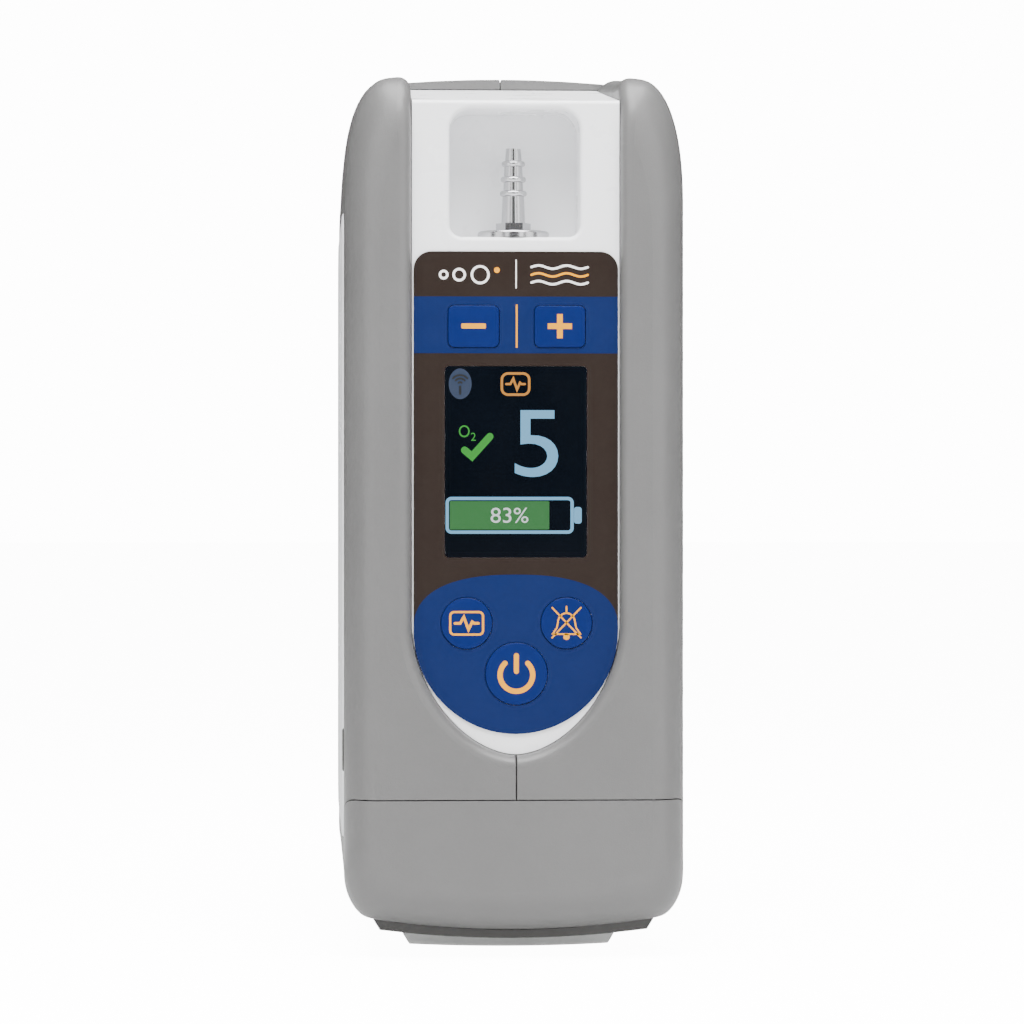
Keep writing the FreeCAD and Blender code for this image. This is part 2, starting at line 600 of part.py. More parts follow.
def build_bezel():
    body = add_cup(bezel_plate())
    body = body.cut(window_slab(0.2, BEZEL_Y - 1, BEZEL_Y + 0.9))
    body = body.cut(window_slab(-2, BEZEL_Y - 1, BEZEL_Y + 5))
    for name in KEYS:
        body = body.cut(key_slab(name, KEY_GAP, BEZEL_Y - 1, BEZEL_Y + 5))
    keep("bezel", body)


def build_keypad():
    overlay = arch_prism(OVERLAY, 0.0, BEZEL_Y - OVERLAY_THICK, BEZEL_Y, OVERLAY_TOP_Z, OVERLAY_CORNER)
    overlay = overlay.cut(window_slab(0.0, BEZEL_Y - 2, BEZEL_Y + 1))
    for name in KEYS:
        overlay = overlay.cut(key_slab(name, KEY_GAP, BEZEL_Y - 2, BEZEL_Y + 1))
    keep("keypad_overlay", overlay)
    keep("display_window", window_slab(-0.2, BEZEL_Y - 0.4, BEZEL_Y + 0.85))

    front = BEZEL_Y - OVERLAY_THICK - KEY_PROUD
    switches = []
    for name in KEYS:
        x, z = (ROUND_KEYS.get(name) or RECT_KEYS[name])[:2]
        cap = key_slab(name, 0.0, front, PLATE_BACK + 0.1)
        cap = rounded(cap, 0.3, lambda e: abs(e.CenterOfMass.y - front) < 0.01)
        flange = key_slab(name, FLANGE, PLATE_BACK + 0.05, PLATE_BACK + 0.65)
        plunger = rod(1.2, Vec(x, PLATE_BACK + 0.5, z), Y_AXIS, 0.65)
        keep(name, fuse(cap, flange, plunger))
        base = box(x - 3, x + 3, PLATE_BACK + 2.3, PLATE_BACK + 4.8, z - 3, z + 3)
        switches.append(fuse(base, rod(1.75, Vec(x, PLATE_BACK + 1.8, z), Y_AXIS, 0.6)))
    keep("key_switches", *switches)
    board = arch_prism(RECESS, -3.0, PLATE_BACK + 4.8, PLATE_BACK + 6.4, 167.0)
    keep("keypad_board", board.cut(box(-7, 5, PLATE_BACK + 4, PLATE_BACK + 8, 157, 170)))
    glass = box(-21, 21, PLATE_BACK + 0.2, PLATE_BACK + 2.4, 101.2, 154.6)
    frame = box(-20, 20, PLATE_BACK + 2.4, PLATE_BACK + 4.7, 102.5, 153.5)
    keep("display_module", fuse(glass, frame))


def bead(z, radius, height):
    """One rounded ring of the hose barb, its middle at z."""
    disc = rod(radius, Vec(OUTLET_X, OUTLET_Y, z - height / 2), Z_AXIS, height)
    return rounded(disc, height * 0.46, lambda e: e.Closed and abs(e.BoundBox.XLength - 2 * radius) < 0.01)


def build_outlet():
    floor = CUP["floor_z"]

    def at(z):
        return Vec(OUTLET_X, OUTLET_Y, z)

    flange = rod(9.3, at(floor + 0.05), Z_AXIS, 1.85)
    flange = rounded(flange, 0.7, lambda e: e.CenterOfMass.z > floor + 1.5)
    stem = Part.makeCone(3.1, 2.75, 8.0, at(floor + 3.9), Z_AXIS)
    neck = Part.makeCone(2.6, 2.3, 7.8, at(floor + 11.8), Z_AXIS)
    tip = Part.makeCone(2.25, 1.9, 3.9, at(floor + 19.5), Z_AXIS)
    rings = [bead(floor + dz, r, 1.5) for dz, r in ((11.75, 3.5), (15.4, 3.3), (19.45, 3.05))]
    tail = rod(4.0, at(179.0), Z_AXIS, 8.0)
    hose_barb = fuse(rod(1.9, at(170.6), Z_AXIS, 9.0), Part.makeCone(1.6, 2.2, 2.2, at(172.0), Z_AXIS))
    body = fuse(flange, hexagon(9.0, at(floor + 1.8), 2.2), stem, neck, tip, *rings, tail, hose_barb)
    body = body.cut(rod(1.2, at(160), Z_AXIS, 60))
    keep("outlet_fitting", body)
    nut = hexagon(12.6, at(179.4), 4.1).cut(rod(4.05, at(170), Z_AXIS, 20))
    keep("outlet_nut", nut)


# ---------------------------------------------------------------- battery module
def battery_shell(z0, z1):
    """Part of the battery's closed case between two heights."""
    c, w = CASE, CASE["wall"]
    middle = (c["z0"] + c["z1"]) / 2
    wire = rounded_rect(2 * c["half"], c["z1"] - c["z0"], 2.5, 4.6, lambda u, v: Vec(u, c["y0"], middle + v))
    solid = Part.Face(wire).extrude(Vec(0, c["y1"] - c["y0"], 0))
    hollow = box(-c["half"] + w, c["half"] - w, c["y0"] + w, c["y1"] - w, c["z0"] + w, c["z1"] - w)
    return solid.cut(hollow).common(box(-60, 60, -120, 120, z0, z1))


def build_battery():
    outer = fuse(half_body(0.0), mirrored(half_body(0.0)))
    inner = fuse(half_body(WALL), mirrored(half_body(WALL)))
    cap = outer.common(cap_region(SEAM_GAP)).cut(inner)
    ribs = [box(x - 1, x + 1, FRONT_Y + 1.5, CASE["y0"] - 0.05, 12.5, 36.0) for x in (-24, -8, 8, 24)]
    cap = fuse(cap, *[rib.common(outer) for rib in ribs])
    keep("battery_cap", cap)
    terminal_room = box(-13, 13, CASE["y1"] - 3, CASE["y1"] + 1, 17.0, 31.0)
    split = CASE["split"]
    keep("battery_case", battery_shell(CASE["z0"], split).cut(terminal_room))
    keep("battery_lid", battery_shell(split + 0.05, CASE["z1"]).cut(terminal_room))
    cells = []
    for i in range(CELL_COUNT):
        y = FIRST_CELL_Y + CELL_PITCH * i
        cell = rod(CELL_RADIUS, Vec(-CELL_LENGTH / 2, y, CELL_Z), X_AXIS, CELL_LENGTH - 1.2)
        cells.append(fuse(cell, rod(2.8, Vec(CELL_LENGTH / 2 - 1.3, y, CELL_Z), X_AXIS, 1.3)))
    keep("battery_cells", *cells)
    keep("battery_board", fuse(box(-30, 30, 60.0, 61.6, 16.5, 35.0), box(-18, -8, 61.5, 64.0, 32, 34.5)))
    block = box(-12.8, 12.8, 61.7, 71.9, 17.3, 30.7)
    for x in (-9.0, -3.0, 3.0, 9.0):
        block = block.cut(box(x - 0.8, x + 0.8, 65.0, 73, 19.0, 29.0))
    keep("battery_terminals", block)
    socket = box(-14, 14, 73.2, 76.4, 16.6, 31.4)
    blades = [box(x - 0.4, x + 0.4, 66.5, 73.5, 19.6, 28.4) for x in (-9.0, -3.0, 3.0, 9.0)]
    keep("bay_connector", fuse(socket, *blades))
    board = box(-30, 30, 76.5, 78.1, 15.0, 42.0)
    keep("power_board", board, box(10, 24, 78.1, 90, 18, 34), rod(5.0, Vec(3, 78.1, 36), Y_AXIS, 12))


def build_jack():
    x, z = JACK["x"], JACK["z"]
    body = box(x - 7, x + 7, 88.0, 104.4, z - 7, z + 7)
    nose = rod(JACK["r"], Vec(x, 104.0, z), Y_AXIS, 2.8)
    jack = fuse(body, nose).cut(rod(3.2, Vec(x, 96.0, z), Y_AXIS, 12))
    keep("dc_jack", fuse(jack, rod(0.8, Vec(x, 95.0, z), Y_AXIS, 10.0)))


def build_latch():
    y, z, w, h = LATCH["y"], LATCH["z"], LATCH["w"], LATCH["h"]
    outer_x = -HALF_WIDTH - 0.5
    button = slab_x(w, h, LATCH["r"], y, z, outer_x, -40.2)
    button = rounded(button, 0.5, lambda e: abs(e.CenterOfMass.x - outer_x) < 0.01)
    stop = slab_x(w + 2.6, h + 2.6, LATCH["r"] + 1.3, y, z, -41.1, -39.7)
    hook = box(-40.6, -39.2, y - 2.5, y + 2.5, 38.8, z - 2)
    keep("latch_button", fuse(button, stop, hook))
    coil = Part.makeHelix(1.1, 3.9, 2.3)
    coil.rotate(Vec(0, 0, 0), Y_AXIS, 90)
    coil.translate(Vec(-38.9, y, z))
    start = coil.Vertexes[0].Point
    section = Part.Wire(Part.makeCircle(0.28, start, Vec(0.15, 1, 0)))
    keep("latch_spring", Part.Wire(coil.Edges).makePipeShell([section], True, True))


# ---------------------------------------------------------------- inside
def pipe(points, outer, inner):
    """Flexible hose: straight over its first and last run, one smooth curve in between."""
    points = [Vec(*p) for p in points]
    bend = Part.BSplineCurve()
    bend.interpolate(points[1:-1], InitialTangent=points[1] - points[0], FinalTangent=points[-1] - points[-2])
    runs = [Part.LineSegment(points[0], points[1]), bend, Part.LineSegment(points[-2], points[-1])]
    path = Part.Wire([run.toShape() for run in runs])
    tubes = []
    for radius in (outer, inner):
        section = Part.Wire(Part.makeCircle(radius, points[0], points[1] - points[0]))
        tubes.append(path.makePipeShell([section], True, False))
    return tubes[0].cut(tubes[1])


def build_tray():
    z0, z1 = TRAY_Z, TRAY_Z + TRAY_THICK
    tray = fuse(box(-38.3, 38.3, -68, 93, z0, z1), box(-34, 34, 92, 99, z0, z1))
    legs = [box(s * 37.35 - 0.95, s * 37.35 + 0.95, -66, 72, 16.4, z0 + 1) for s in (-1, 1)]
    uprights = [box(x - 2, x + 2, -72.3, -66, z0, 171.0) for x in (-28, 28)]
    notches = [box(s * 37.3 - 1.3, s * 37.3 + 1.3, -70, -60, 40, 50) for s in (-1, 1)]
    tray = fuse(tray, *legs, *uprights).cut(notches[0]).cut(notches[1])
    cradles = [ring(19.2, 17.6, Vec(x, BED["y"], z1 - 0.5), Z_AXIS, 4.0) for x in (-BED["x"], BED["x"])]
    gap, reach = box(-3, 3, 60, 104, z1 - 1, z1 + 5), box(-60, 60, 60, 99, 40, 60)
    keep("chassis_tray", fuse(tray, *[cradle.cut(gap).common(reach) for cradle in cradles]))


def build_boards():
    keep("main_board", slab_y(66, 116, 3, 0, 114, -74.0, -72.4))
    front = -74.05
    chips = [  # x, z, width, height, thickness
        (-12, 120, 18, 18, 1.6), (14, 124, 12, 12, 1.4), (16, 96, 14, 10, 1.8), (-18, 92, 10, 14, 2.2),
        (0, 66, 40, 7, 7.0), (-26, 146, 8, 16, 6.0), (26, 70, 8, 18, 6.0),
    ]
    cans = [(-8, 78, 4.2, 11), (4, 78, 4.2, 11), (-27, 118, 3.2, 7)]  # x, z, radius, height
    parts = [box(x - w / 2, x + w / 2, front - t, front, z - h / 2, z + h / 2) for x, z, w, h, t in chips]
    parts += [rod(r, Vec(x, front, z), Y_AXIS, -h) for x, z, r, h in cans]
    parts.append(ring(6.2, 1.2, Vec(24, front, 152), Y_AXIS, -8.0))
    sensor = fuse(box(-21, -11, front - 6, front, 132, 142), rod(1.2, Vec(-16, front - 9, 137), Y_AXIS, 4))
    parts.append(sensor)
    keep("board_components", *parts)
    body = box(-9, 9, -92.5, -76.5, 142, 158)
    nipple_in = rod(1.9, Vec(6, -84, 157), Z_AXIS, 7)
    nipple_out = rod(1.9, Vec(-4, -86, 157), Z_AXIS, 6)
    keep("conserver_valve", fuse(body, rod(6.5, Vec(0, -84.5, 133), Z_AXIS, 10), nipple_in, nipple_out))


CYLINDERS = ((-1, FRONT_ROD_X, "front_piston"), (1, REAR_ROD_X, "rear_piston"))
MOUNT_PLACES = [(x, y) for x in (-9, 17) for y in (-15, 15)]


def span(side, near, far):
    """The two Y values of a run that lies on one side of the shaft, in rising order."""
    return min(side * near, side * far), max(side * near, side * far)


def build_crankcase():
    centre = Vec(0, 0, SHAFT_Z)
    x0, x1 = -11.0, 17.0
    case = rod(21.0, centre + X_AXIS * x0, X_AXIS, x1 - x0)
    inside = box(x0, x1 + 6, -30, 30, 0, 200)
    pads = [box(x - 15, x + 15, *span(s, 14, 22), SHAFT_Z - 15, SHAFT_Z + 15) for s, x, _ in CYLINDERS]
    base = fuse(box(-13, 21, -20, 20, 60, 64), box(-10, 16, -9, 9, 63, 70))
    case = fuse(case, *[pad.common(inside) for pad in pads], base)
    case = case.cut(rod(18.5, centre + X_AXIS * (x0 + 2.5), X_AXIS, x1 - x0 - 5))
    case = case.cut(rod(3.05, centre - X_AXIS * 40, X_AXIS, 80))
    for s, x, _ in CYLINDERS:
        case = case.cut(rod(PISTON["bore"], Vec(x, s * 5, SHAFT_Z), Y_AXIS, s * 30))
    for x, y in MOUNT_PLACES:
        case = case.cut(rod(2.05, Vec(x, y, 58), Z_AXIS, 7))
    keep("compressor_crankcase", case)
    feet = [rod(5.0, Vec(x, y, 47.6), Z_AXIS, 12.3) for x, y in MOUNT_PLACES]
    studs = [rod(2.0, Vec(x, y, 55), Z_AXIS, 9.5) for x, y in MOUNT_PLACES]
    keep("vibration_mounts", *[fuse(foot, stud) for foot, stud in zip(feet, studs)])


def build_cylinders():
    barrels, heads = [], []
    for s, x, _ in CYLINDERS:
        barrel = rod(14.5, Vec(x, s * 22.1, SHAFT_Z), Y_AXIS, s * 19.9)
        for i in range(4):
            barrel = barrel.fuse(rod(16.5, Vec(x, s * (25 + 4 * i), SHAFT_Z), Y_AXIS, s * 1.4))
        barrels.append(barrel.cut(rod(PISTON["bore"], Vec(x, s * 20, SHAFT_Z), Y_AXIS, s * 30)))
        head = box(x - 16, x + 16, *span(s, 42.1, 50), SHAFT_Z - 16, SHAFT_Z + 16)
        heads.append(fuse(head, rod(1.9, Vec(x, s * 46, SHAFT_Z + 15), Z_AXIS, 8)))
    keep("compressor_cylinders", *barrels)
    keep("cylinder_heads", *heads)


def build_motor():
    centre = Vec(0, 0, SHAFT_Z)
    can = rod(20.8, centre - X_AXIS * 37, X_AXIS, 25.9).cut(rod(12.5, centre - X_AXIS * 35.5, X_AXIS, 30))
    keep("motor_stator", can.cut(rod(3.05, centre - X_AXIS * 40, X_AXIS, 80)))
    shaft = rod(3.0, centre - X_AXIS * 36.8, X_AXIS, 53.5)
    magnet = rod(12.0, centre - X_AXIS * 35.0, X_AXIS, 23.0)
    pin = centre + Y_AXIS * THROW
    eccentrics = [rod(6.0, pin + X_AXIS * (x - 2.6), X_AXIS, 5.2) for x in (FRONT_ROD_X, REAR_ROD_X)]
    cheek = rod(7.6, centre + X_AXIS * (FRONT_ROD_X + 2.7), X_AXIS, REAR_ROD_X - FRONT_ROD_X - 5.4)
    keep("crank_rotor", fuse(shaft, magnet, *eccentrics, cheek))


def build_pistons():
    top = 32.0
    for s, x, name in CYLINDERS:
        eye = ring(9.0, 6.05, Vec(x - 2.4, THROW, SHAFT_Z), X_AXIS, 4.8)
        y_eye, y_top = THROW + s * 8.0, s * top
        arm = box(x - 2.2, x + 2.2, min(y_eye, y_top), max(y_eye, y_top), SHAFT_Z - 3, SHAFT_Z + 3)
        arm = arm.cut(rod(6.5, Vec(x - 5, THROW, SHAFT_Z), X_AXIS, 10))
        head = rod(PISTON["radius"], Vec(x, y_top - s * 0.2, SHAFT_Z), Y_AXIS, s * PISTON["thick"])
        keep(name, fuse(eye, arm, head))


def build_beds():
    beds, caps = [], []
    for x in (-BED["x"], BED["x"]):
        base = Vec(x, BED["y"], 0)
        r = BED["r"]
        beds.append(ring(r, r - 1.4, base + Z_AXIS * BED["z0"], Z_AXIS, BED["z1"] - BED["z0"]))
        low = rod(17.3, base + Z_AXIS * 47.6, Z_AXIS, 8.0)
        high = rod(17.3, base + Z_AXIS * 184.0, Z_AXIS, 10.2)
        caps.append(low.cut(rod(r + 0.05, base + Z_AXIS * 49.95, Z_AXIS, 10)))
        caps.append(high.cut(rod(r + 0.05, base + Z_AXIS * 180, Z_AXIS, 10.05)))
    keep("sieve_beds", *beds)
    keep("bed_caps", *caps)


def build_valves():
    manifold = slab_z(66, 28, 4, 0, 82, 194.3, 206.0)
    manifold = fuse(manifold, rod(1.9, Vec(0, 60, 198), Y_AXIS, 9), rod(1.9, Vec(20, 61, 200), Y_AXIS, 8))
    keep("valve_manifold", manifold)
    valves = []
    for x in (-22.5, -7.5, 7.5, 22.5):
        valves.append(fuse(rod(6.5, Vec(x, 48, 213.5), Y_AXIS, 24), box(x - 5, x + 5, 70, 90, 206.05, 212)))
    keep("solenoid_valves", *valves)


def build_tank():
    def on_end(edge):
        return edge.Length > 50 and abs(edge.CenterOfMass.y + 10) > 40

    tank = rounded(rod(16.0, Vec(0, -60, 198), Y_AXIS, 100), 4.0, on_end)
    tank = tank.cut(rounded(rod(14.6, Vec(0, -58.6, 198), Y_AXIS, 97.2), 3.0, on_end))
    tank = fuse(tank, rod(1.9, Vec(0, 39, 198), Y_AXIS, 9), rod(1.9, Vec(0, -59, 198), Y_AXIS, -8))
    keep("product_tank", tank)


def build_filter():
    canister = rod(15.0, Vec(-36.1, FAN["y"], FAN["z"]), X_AXIS, 20)
    canister = canister.cut(rod(13.5, Vec(-38, FAN["y"], FAN["z"]), X_AXIS, 18.5))
    keep("hepa_filter", fuse(canister, rod(1.9, Vec(-17, FAN["y"], FAN["z"]), X_AXIS, 8)))


def build_coil():
    """Serpentine cooling tube in front of the fan."""
    x, y0, y1, z0 = 20.0, -40.0, 12.0, 130.0
    rows, pitch = 5, 12.0
    edges = []
    for i in range(rows):
        z = z0 + pitch * i
        a, b = (y0, y1) if i % 2 else (y1, y0)
        edges.append(Part.LineSegment(Vec(x, a, z), Vec(x, b, z)).toShape())
        if i < rows - 1:
            turn = Vec(x, b + math.copysign(pitch / 2, b - a), z + pitch / 2)
            edges.append(Part.Arc(Vec(x, b, z), turn, Vec(x, b, z + pitch)).toShape())
    keep("cooling_coil", tube_along(Part.Wire(edges), Vec(x, y1, z0), 2.2, 1.6))


def tube_along(path, start, outer, inner):
    """Tube swept along a path that starts along Y."""
    rings = [Part.Wire(Part.makeCircle(r, start, Y_AXIS)) for r in (outer, inner)]
    solid, bore = (path.makePipeShell([section], True, False) for section in rings)
    return solid.cut(bore)


def build_hoses():
    outer, inner = 3.0, 2.25
    x, y, z = OUTLET_X, OUTLET_Y, SHAFT_Z
    filter_y, filter_z = FAN["y"], FAN["z"]
    runs = {
        "outlet_tube": [(x, y, 175.8), (x, y, 170.4), (-2, -91.5, 167.0), (-4, -86, 163.3), (-4, -86, 158.3)],
        "intake_hose": [(-13.6, filter_y, filter_z), (-8.5, filter_y, filter_z), (-2.5, -24, 144),
                        (FRONT_ROD_X, -39, 127), (FRONT_ROD_X, -46, z + 27), (FRONT_ROD_X, -46, z + 17)],
        "feed_hose": [(REAR_ROD_X, 46, z + 17), (REAR_ROD_X, 46, z + 24), (11, 42, 124), (20, 28, 130),
                      (20, 17, 130), (20, 8.5, 130)],
        "product_hose": [(0, -63.5, 198), (0, -67.5, 198), (3, -73.5, 188), (6, -80, 176.5),
                         (6, -84, 167), (6, -84, 159)],
    }
    for name, points in runs.items():
        keep(name, pipe(points, outer, inner))
    # the cooled feed gas turns round in one half circle and runs back to the manifold
    low, high, turn_y = 178.0, 200.0, -43.0
    middle = Vec(20, turn_y - (high - low) / 2, (high + low) / 2)
    start, a, b, end = (Vec(20, v, w) for v, w in ((-36.5, low), (turn_y, low), (turn_y, high), (66.5, high)))
    runs = [Part.LineSegment(start, a), Part.Arc(a, middle, b), Part.LineSegment(b, end)]
    keep("cooled_feed_hose", tube_along(Part.Wire([run.toShape() for run in runs]), start, outer, inner))


def build_fan():
    y, z, half = FAN["y"], FAN["z"], FAN["size"] / 2
    x0, x1 = FAN["x0"], FAN["x1"]
    frame = slab_x(2 * half, 2 * half, 3, y, z, x0, x1)
    frame = frame.cut(rod(FAN["bore"], Vec(x0 - 1, y, z), X_AXIS, x1 - x0 + 2))
    spider = rod(12.0, Vec(x0, y, z), X_AXIS, 1.8)
    for angle in (45, 165, 285):
        arm = box(x0, x0 + 1.8, y - 1.5, y + 1.5, z, z + 29)
        arm.rotate(Vec(x0, y, z), X_AXIS, angle)
        spider = spider.fuse(arm)
    spindle = rod(1.5, Vec(x0, y, z), X_AXIS, 10)
    frame = fuse(frame, spider, spindle)
    for dy in (-25, 25):
        for dz in (-25, 25):
            frame = frame.cut(rod(2.0, Vec(x0 - 1, y + dy, z + dz), X_AXIS, 20))
    keep("fan_frame", frame)
    hub = rod(13.0, Vec(x0 + 2.4, y, z), X_AXIS, 11.0)
    blades = []
    for i in range(7):
        blade = Part.makeBox(1.4, 14.0, 18.0, Vec(-0.7, -7.0, 10.0))
        blade.rotate(Vec(0, 0, 0), Z_AXIS, 52)
        blade.translate(Vec(x0 + 7.9, y, z))
        blade.rotate(Vec(x0, y, z), X_AXIS, i * 360 / 7)
        blades.append(blade)
    limit = rod(27.0, Vec(x0 + 2.4, y, z), X_AXIS, 11.0)
    rotor = fuse(hub, *[b.common(limit) for b in blades])
    keep("fan_rotor", rotor.cut(rod(1.55, Vec(x0, y, z), X_AXIS, 10.6)))


def main():
    build_shells()
    build_base()
    build_screws()
    build_side_panels()
    build_bezel()
    build_keypad()
    build_outlet()
    build_battery()
    build_jack()
    build_latch()
    build_tray()
    build_boards()
    build_crankcase()
    build_cylinders()
    build_motor()
    build_pistons()
    build_beds()
    build_valves()
    build_tank()
    build_filter()
    build_coil()
    build_hoses()
    build_fan()
    os.makedirs("parts", exist_ok=True)
    for old in os.listdir("parts"):
        if old.endswith(".step") and old[:-5] not in finished:
            os.remove(os.path.join("parts", old))
    for name, shape in finished.items():
        shape.exportStep(f"parts/{name}.step")
        print(f"{name}: {len(shape.Solids)} solid(s), {shape.Volume / 1000:.2f} cm3, valid {shape.isValid()}")


main()
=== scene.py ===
"""Looks of the portable oxygen concentrator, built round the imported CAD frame.

The control panel faces -Y. Lengths in the tables are in millimetres, unless a comment says otherwise, and
become metres in the helpers. Places on the panel are given as x and z. Colours are linear.
"""

import json
import math

import bpy
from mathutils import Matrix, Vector


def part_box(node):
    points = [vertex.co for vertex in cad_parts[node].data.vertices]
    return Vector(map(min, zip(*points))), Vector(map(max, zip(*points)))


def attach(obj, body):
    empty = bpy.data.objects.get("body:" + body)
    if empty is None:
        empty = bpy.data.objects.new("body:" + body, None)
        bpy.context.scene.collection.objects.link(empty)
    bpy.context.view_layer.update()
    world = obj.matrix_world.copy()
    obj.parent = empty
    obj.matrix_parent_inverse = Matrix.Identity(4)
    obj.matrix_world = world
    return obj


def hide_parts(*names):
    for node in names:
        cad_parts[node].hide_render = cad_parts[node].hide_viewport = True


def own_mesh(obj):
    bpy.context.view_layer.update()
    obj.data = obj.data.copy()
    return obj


MM = 0.001

# ---------------------------------------------------------------- printed film
PRINT = 0.03  # thickness of a printed layer
BAND = (155.8, 170.4)  # lower and upper edge of the field round the two small keys
BEAN = {"z": 84.9, "rise": 14.0, "power": 2.45}  # upper edge of the field round the three round keys
ARCH = {"spring_z": 84.5, "drop": 26.6}  # foot of the film: half an ellipse
EDGE_STEPS = 48

HEAD_Z = 176.0
BUBBLES = ((-18.6, 1.25), (-14.6, 1.75), (-9.2, 2.45))  # x and radius of each ring
BUBBLE_LINE = 0.62
SPARK = (-4.9, 177.2, 0.75)  # middle and radius
BREEZE = {"x": 4.0, "length": 14.5, "swing": 0.42, "line": 0.6, "pitch": 2.0}
BREEZE_STEPS = 40
BREEZE_WAVE_STEPS = 20
HEAD_DIVIDER = (0.05, 176.2, 0.34, 7.4, 0.15)  # middle, width, height and corner radius
KEY_DIVIDER = (0.2, 162.8, 0.45, 11.2, 0.2)

# ---------------------------------------------------------------- keys and their signs
RECT_SIZE = (13.1, 10.8, 1.6)  # width, height and corner radius of the two small keys
FLANGE = 0.8  # how far the hidden flange of a round key reaches past its face
RIM = 0.15  # clearance round each key
SIGN = 0.02  # thickness of the sign on a key

SIGN_RISE = 0.1  # of the minus and the plus above the middle of their keys
MINUS_SIZE = (6.35, 1.35, 0.35)
PLUS_ARM, PLUS_HALF_LINE = 3.12, 0.74
POWER_RING = {"radius": 4.2, "drop": 0.3, "line": 1.35, "from": 134, "to": 406}
POWER_BAR = {"high": 4.7, "low": 0.6, "line": 1.3}
MODE_OUTER, MODE_INNER = (9.0, 6.35, 1.3), (7.9, 5.25, 0.8)
MODE_PULSE = {"size": (6.0, 3.2), "line": 0.7}
BELL_LINE = 0.42
BELL_DOME = (0, 0.2, 2.2, 2.4)  # middle and radii
BELL_RIGHT_SIDE = [(3.6, -2.8), (2.5, -1.2)]
BELL_LEFT_SIDE = [(-2.5, -1.2), (-3.6, -2.8)]
BELL_RIM = (3.3, -2.8)  # half width and height
BELL_KNOB = (4.3, 2.9)  # top and foot
BELL_CROSS = (3.7, 4.0, -3.7)  # half width, top and foot
BELL_CLAPPER = (-3.5, 0.82)  # height and radius

KEY_BODY = {
    "button_minus": "key_minus",
    "button_plus": "key_plus",
    "button_mode": "key_mode",
    "button_mute": "key_mute",
    "button_power": "key_power",
}

# ---------------------------------------------------------------- display picture
LIT = 0.02  # thickness of one layer of the picture
FLOW_NUMBER_BOX = (-0.3, 10.9, 124.0, 141.2)  # left, right, low, high
GAS_LETTER_BOX = (-14.7, -11.9, 134.2, 137.3)
GAS_NUMBER_BOX = (-11.6, -10.3, 133.3, 135.4)
CHARGE_BOX = (-6.5, 3.2, 112.2, 116.1)
TICK = [(-13.2, 130.9), (-11.3, 129.3), (-6.7, 134.4)]
TICK_LINE = 1.9
CELL_Z = 114.15
CELL_OUTLINE = (-1.6, CELL_Z, 33.0, 9.5, 1.5, 0.85)  # middle, width, height, corner radius, line
CELL_NUB = (15.95, CELL_Z, 2.0, 4.3, 0.7)
CELL_FILL = (-4.2, CELL_Z, 25.6, 7.3, 0.3)
PULSE_AT = (-0.1, 147.9)
PULSE_FRAME = (7.7, 6.1, 1.9, 0.65)
PULSE = {"size": (4.8, 2.8), "line": 0.6}
LINK_X = -14.35
LINK_OVAL = (LINK_X, 147.95, 2.95, 3.95)  # middle and radii
LINK_MAST = {"high": 147.2, "low": 145.4, "line": 0.6}
LINK_WAVES = {"z": 147.9, "radii": (0.5, 1.5, 2.4), "flatness": 0.95, "from": 40, "to": 140, "line": 0.5}

# ---------------------------------------------------------------- studio: metres and watts
FLOOR_HALF = 15.0
PAPER = 0.70
TABLE_GLOW = 0.4  # light that the paper gives off from below
PAPER_GLOW = 12.5  # how much brighter the paper shows to the camera
BACKDROP = 14.0  # how bright the far wall shows to the camera
FILL_LIGHT = 0.07  # light from all round
LIT_CENTRE = (0, -0.05, 0.12)
OUTLET_CUP = (0, -0.1, 0.2)
LIGHTS = {  # place, target, size, power
    "left_box": ((-1.0, -0.9, 0.35), LIT_CENTRE, (0.6, 1.1), 5),
    "right_box": ((1.0, -0.9, 0.35), LIT_CENTRE, (0.6, 1.1), 5.5),
    "front_left_box": ((-0.62, -1.55, 0.5), LIT_CENTRE, (0.35, 0.9), 2.6),
    "front_right_box": ((0.62, -1.55, 0.5), LIT_CENTRE, (0.35, 0.9), 3.6),
    "near_box": ((0, -0.45, 0.58), OUTLET_CUP, (0.6, 0.15), 3.3),
    "top_box": ((0, -0.25, 1.1), LIT_CENTRE, (1.2, 1.0), 44),
}
CAMERA = {"distance": 1.1, "height": 0.115, "azimuth": -2.8, "lens": 150.8, "shift_x": -0.0044}

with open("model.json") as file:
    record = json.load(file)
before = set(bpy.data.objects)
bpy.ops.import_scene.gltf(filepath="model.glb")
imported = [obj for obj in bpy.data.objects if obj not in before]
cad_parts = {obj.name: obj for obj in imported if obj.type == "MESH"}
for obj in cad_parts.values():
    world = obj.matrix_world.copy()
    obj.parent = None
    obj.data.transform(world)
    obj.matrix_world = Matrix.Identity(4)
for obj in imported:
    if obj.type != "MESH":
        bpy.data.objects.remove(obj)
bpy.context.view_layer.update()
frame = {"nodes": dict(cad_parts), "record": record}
nodes = frame["nodes"]


# ---------------------------------------------------------------- shader helpers
MIX_A, MIX_B, MIX_RESULT = 6, 7, 2  # sockets of a Mix node that mixes colours
MIX_LOW, MIX_HIGH = 2, 3  # sockets of a Mix node that mixes numbers
WAVE_PERIOD = 0.314  # of a wave texture whose scale is 1


def new_material(name):
    material = bpy.data.materials.new(name)
    material.use_nodes = True
    tree = material.node_tree
    tree.nodes.clear()
    out = tree.nodes.new("ShaderNodeOutputMaterial")
    shader = tree.nodes.new("ShaderNodeBsdfPrincipled")
    tree.links.new(shader.outputs["BSDF"], out.inputs["Surface"])
    return material, tree, shader


def add(tree, kind, **values):
    """Adds a node and sets its properties and, with a leading underscore, its input values."""
    node = tree.nodes.new("ShaderNode" + kind)
    for key, value in values.items():
        if key.startswith("_"):
            node.inputs[key[1:].replace("_", " ")].default_value = value
        else:
            setattr(node, key, value)
    return node


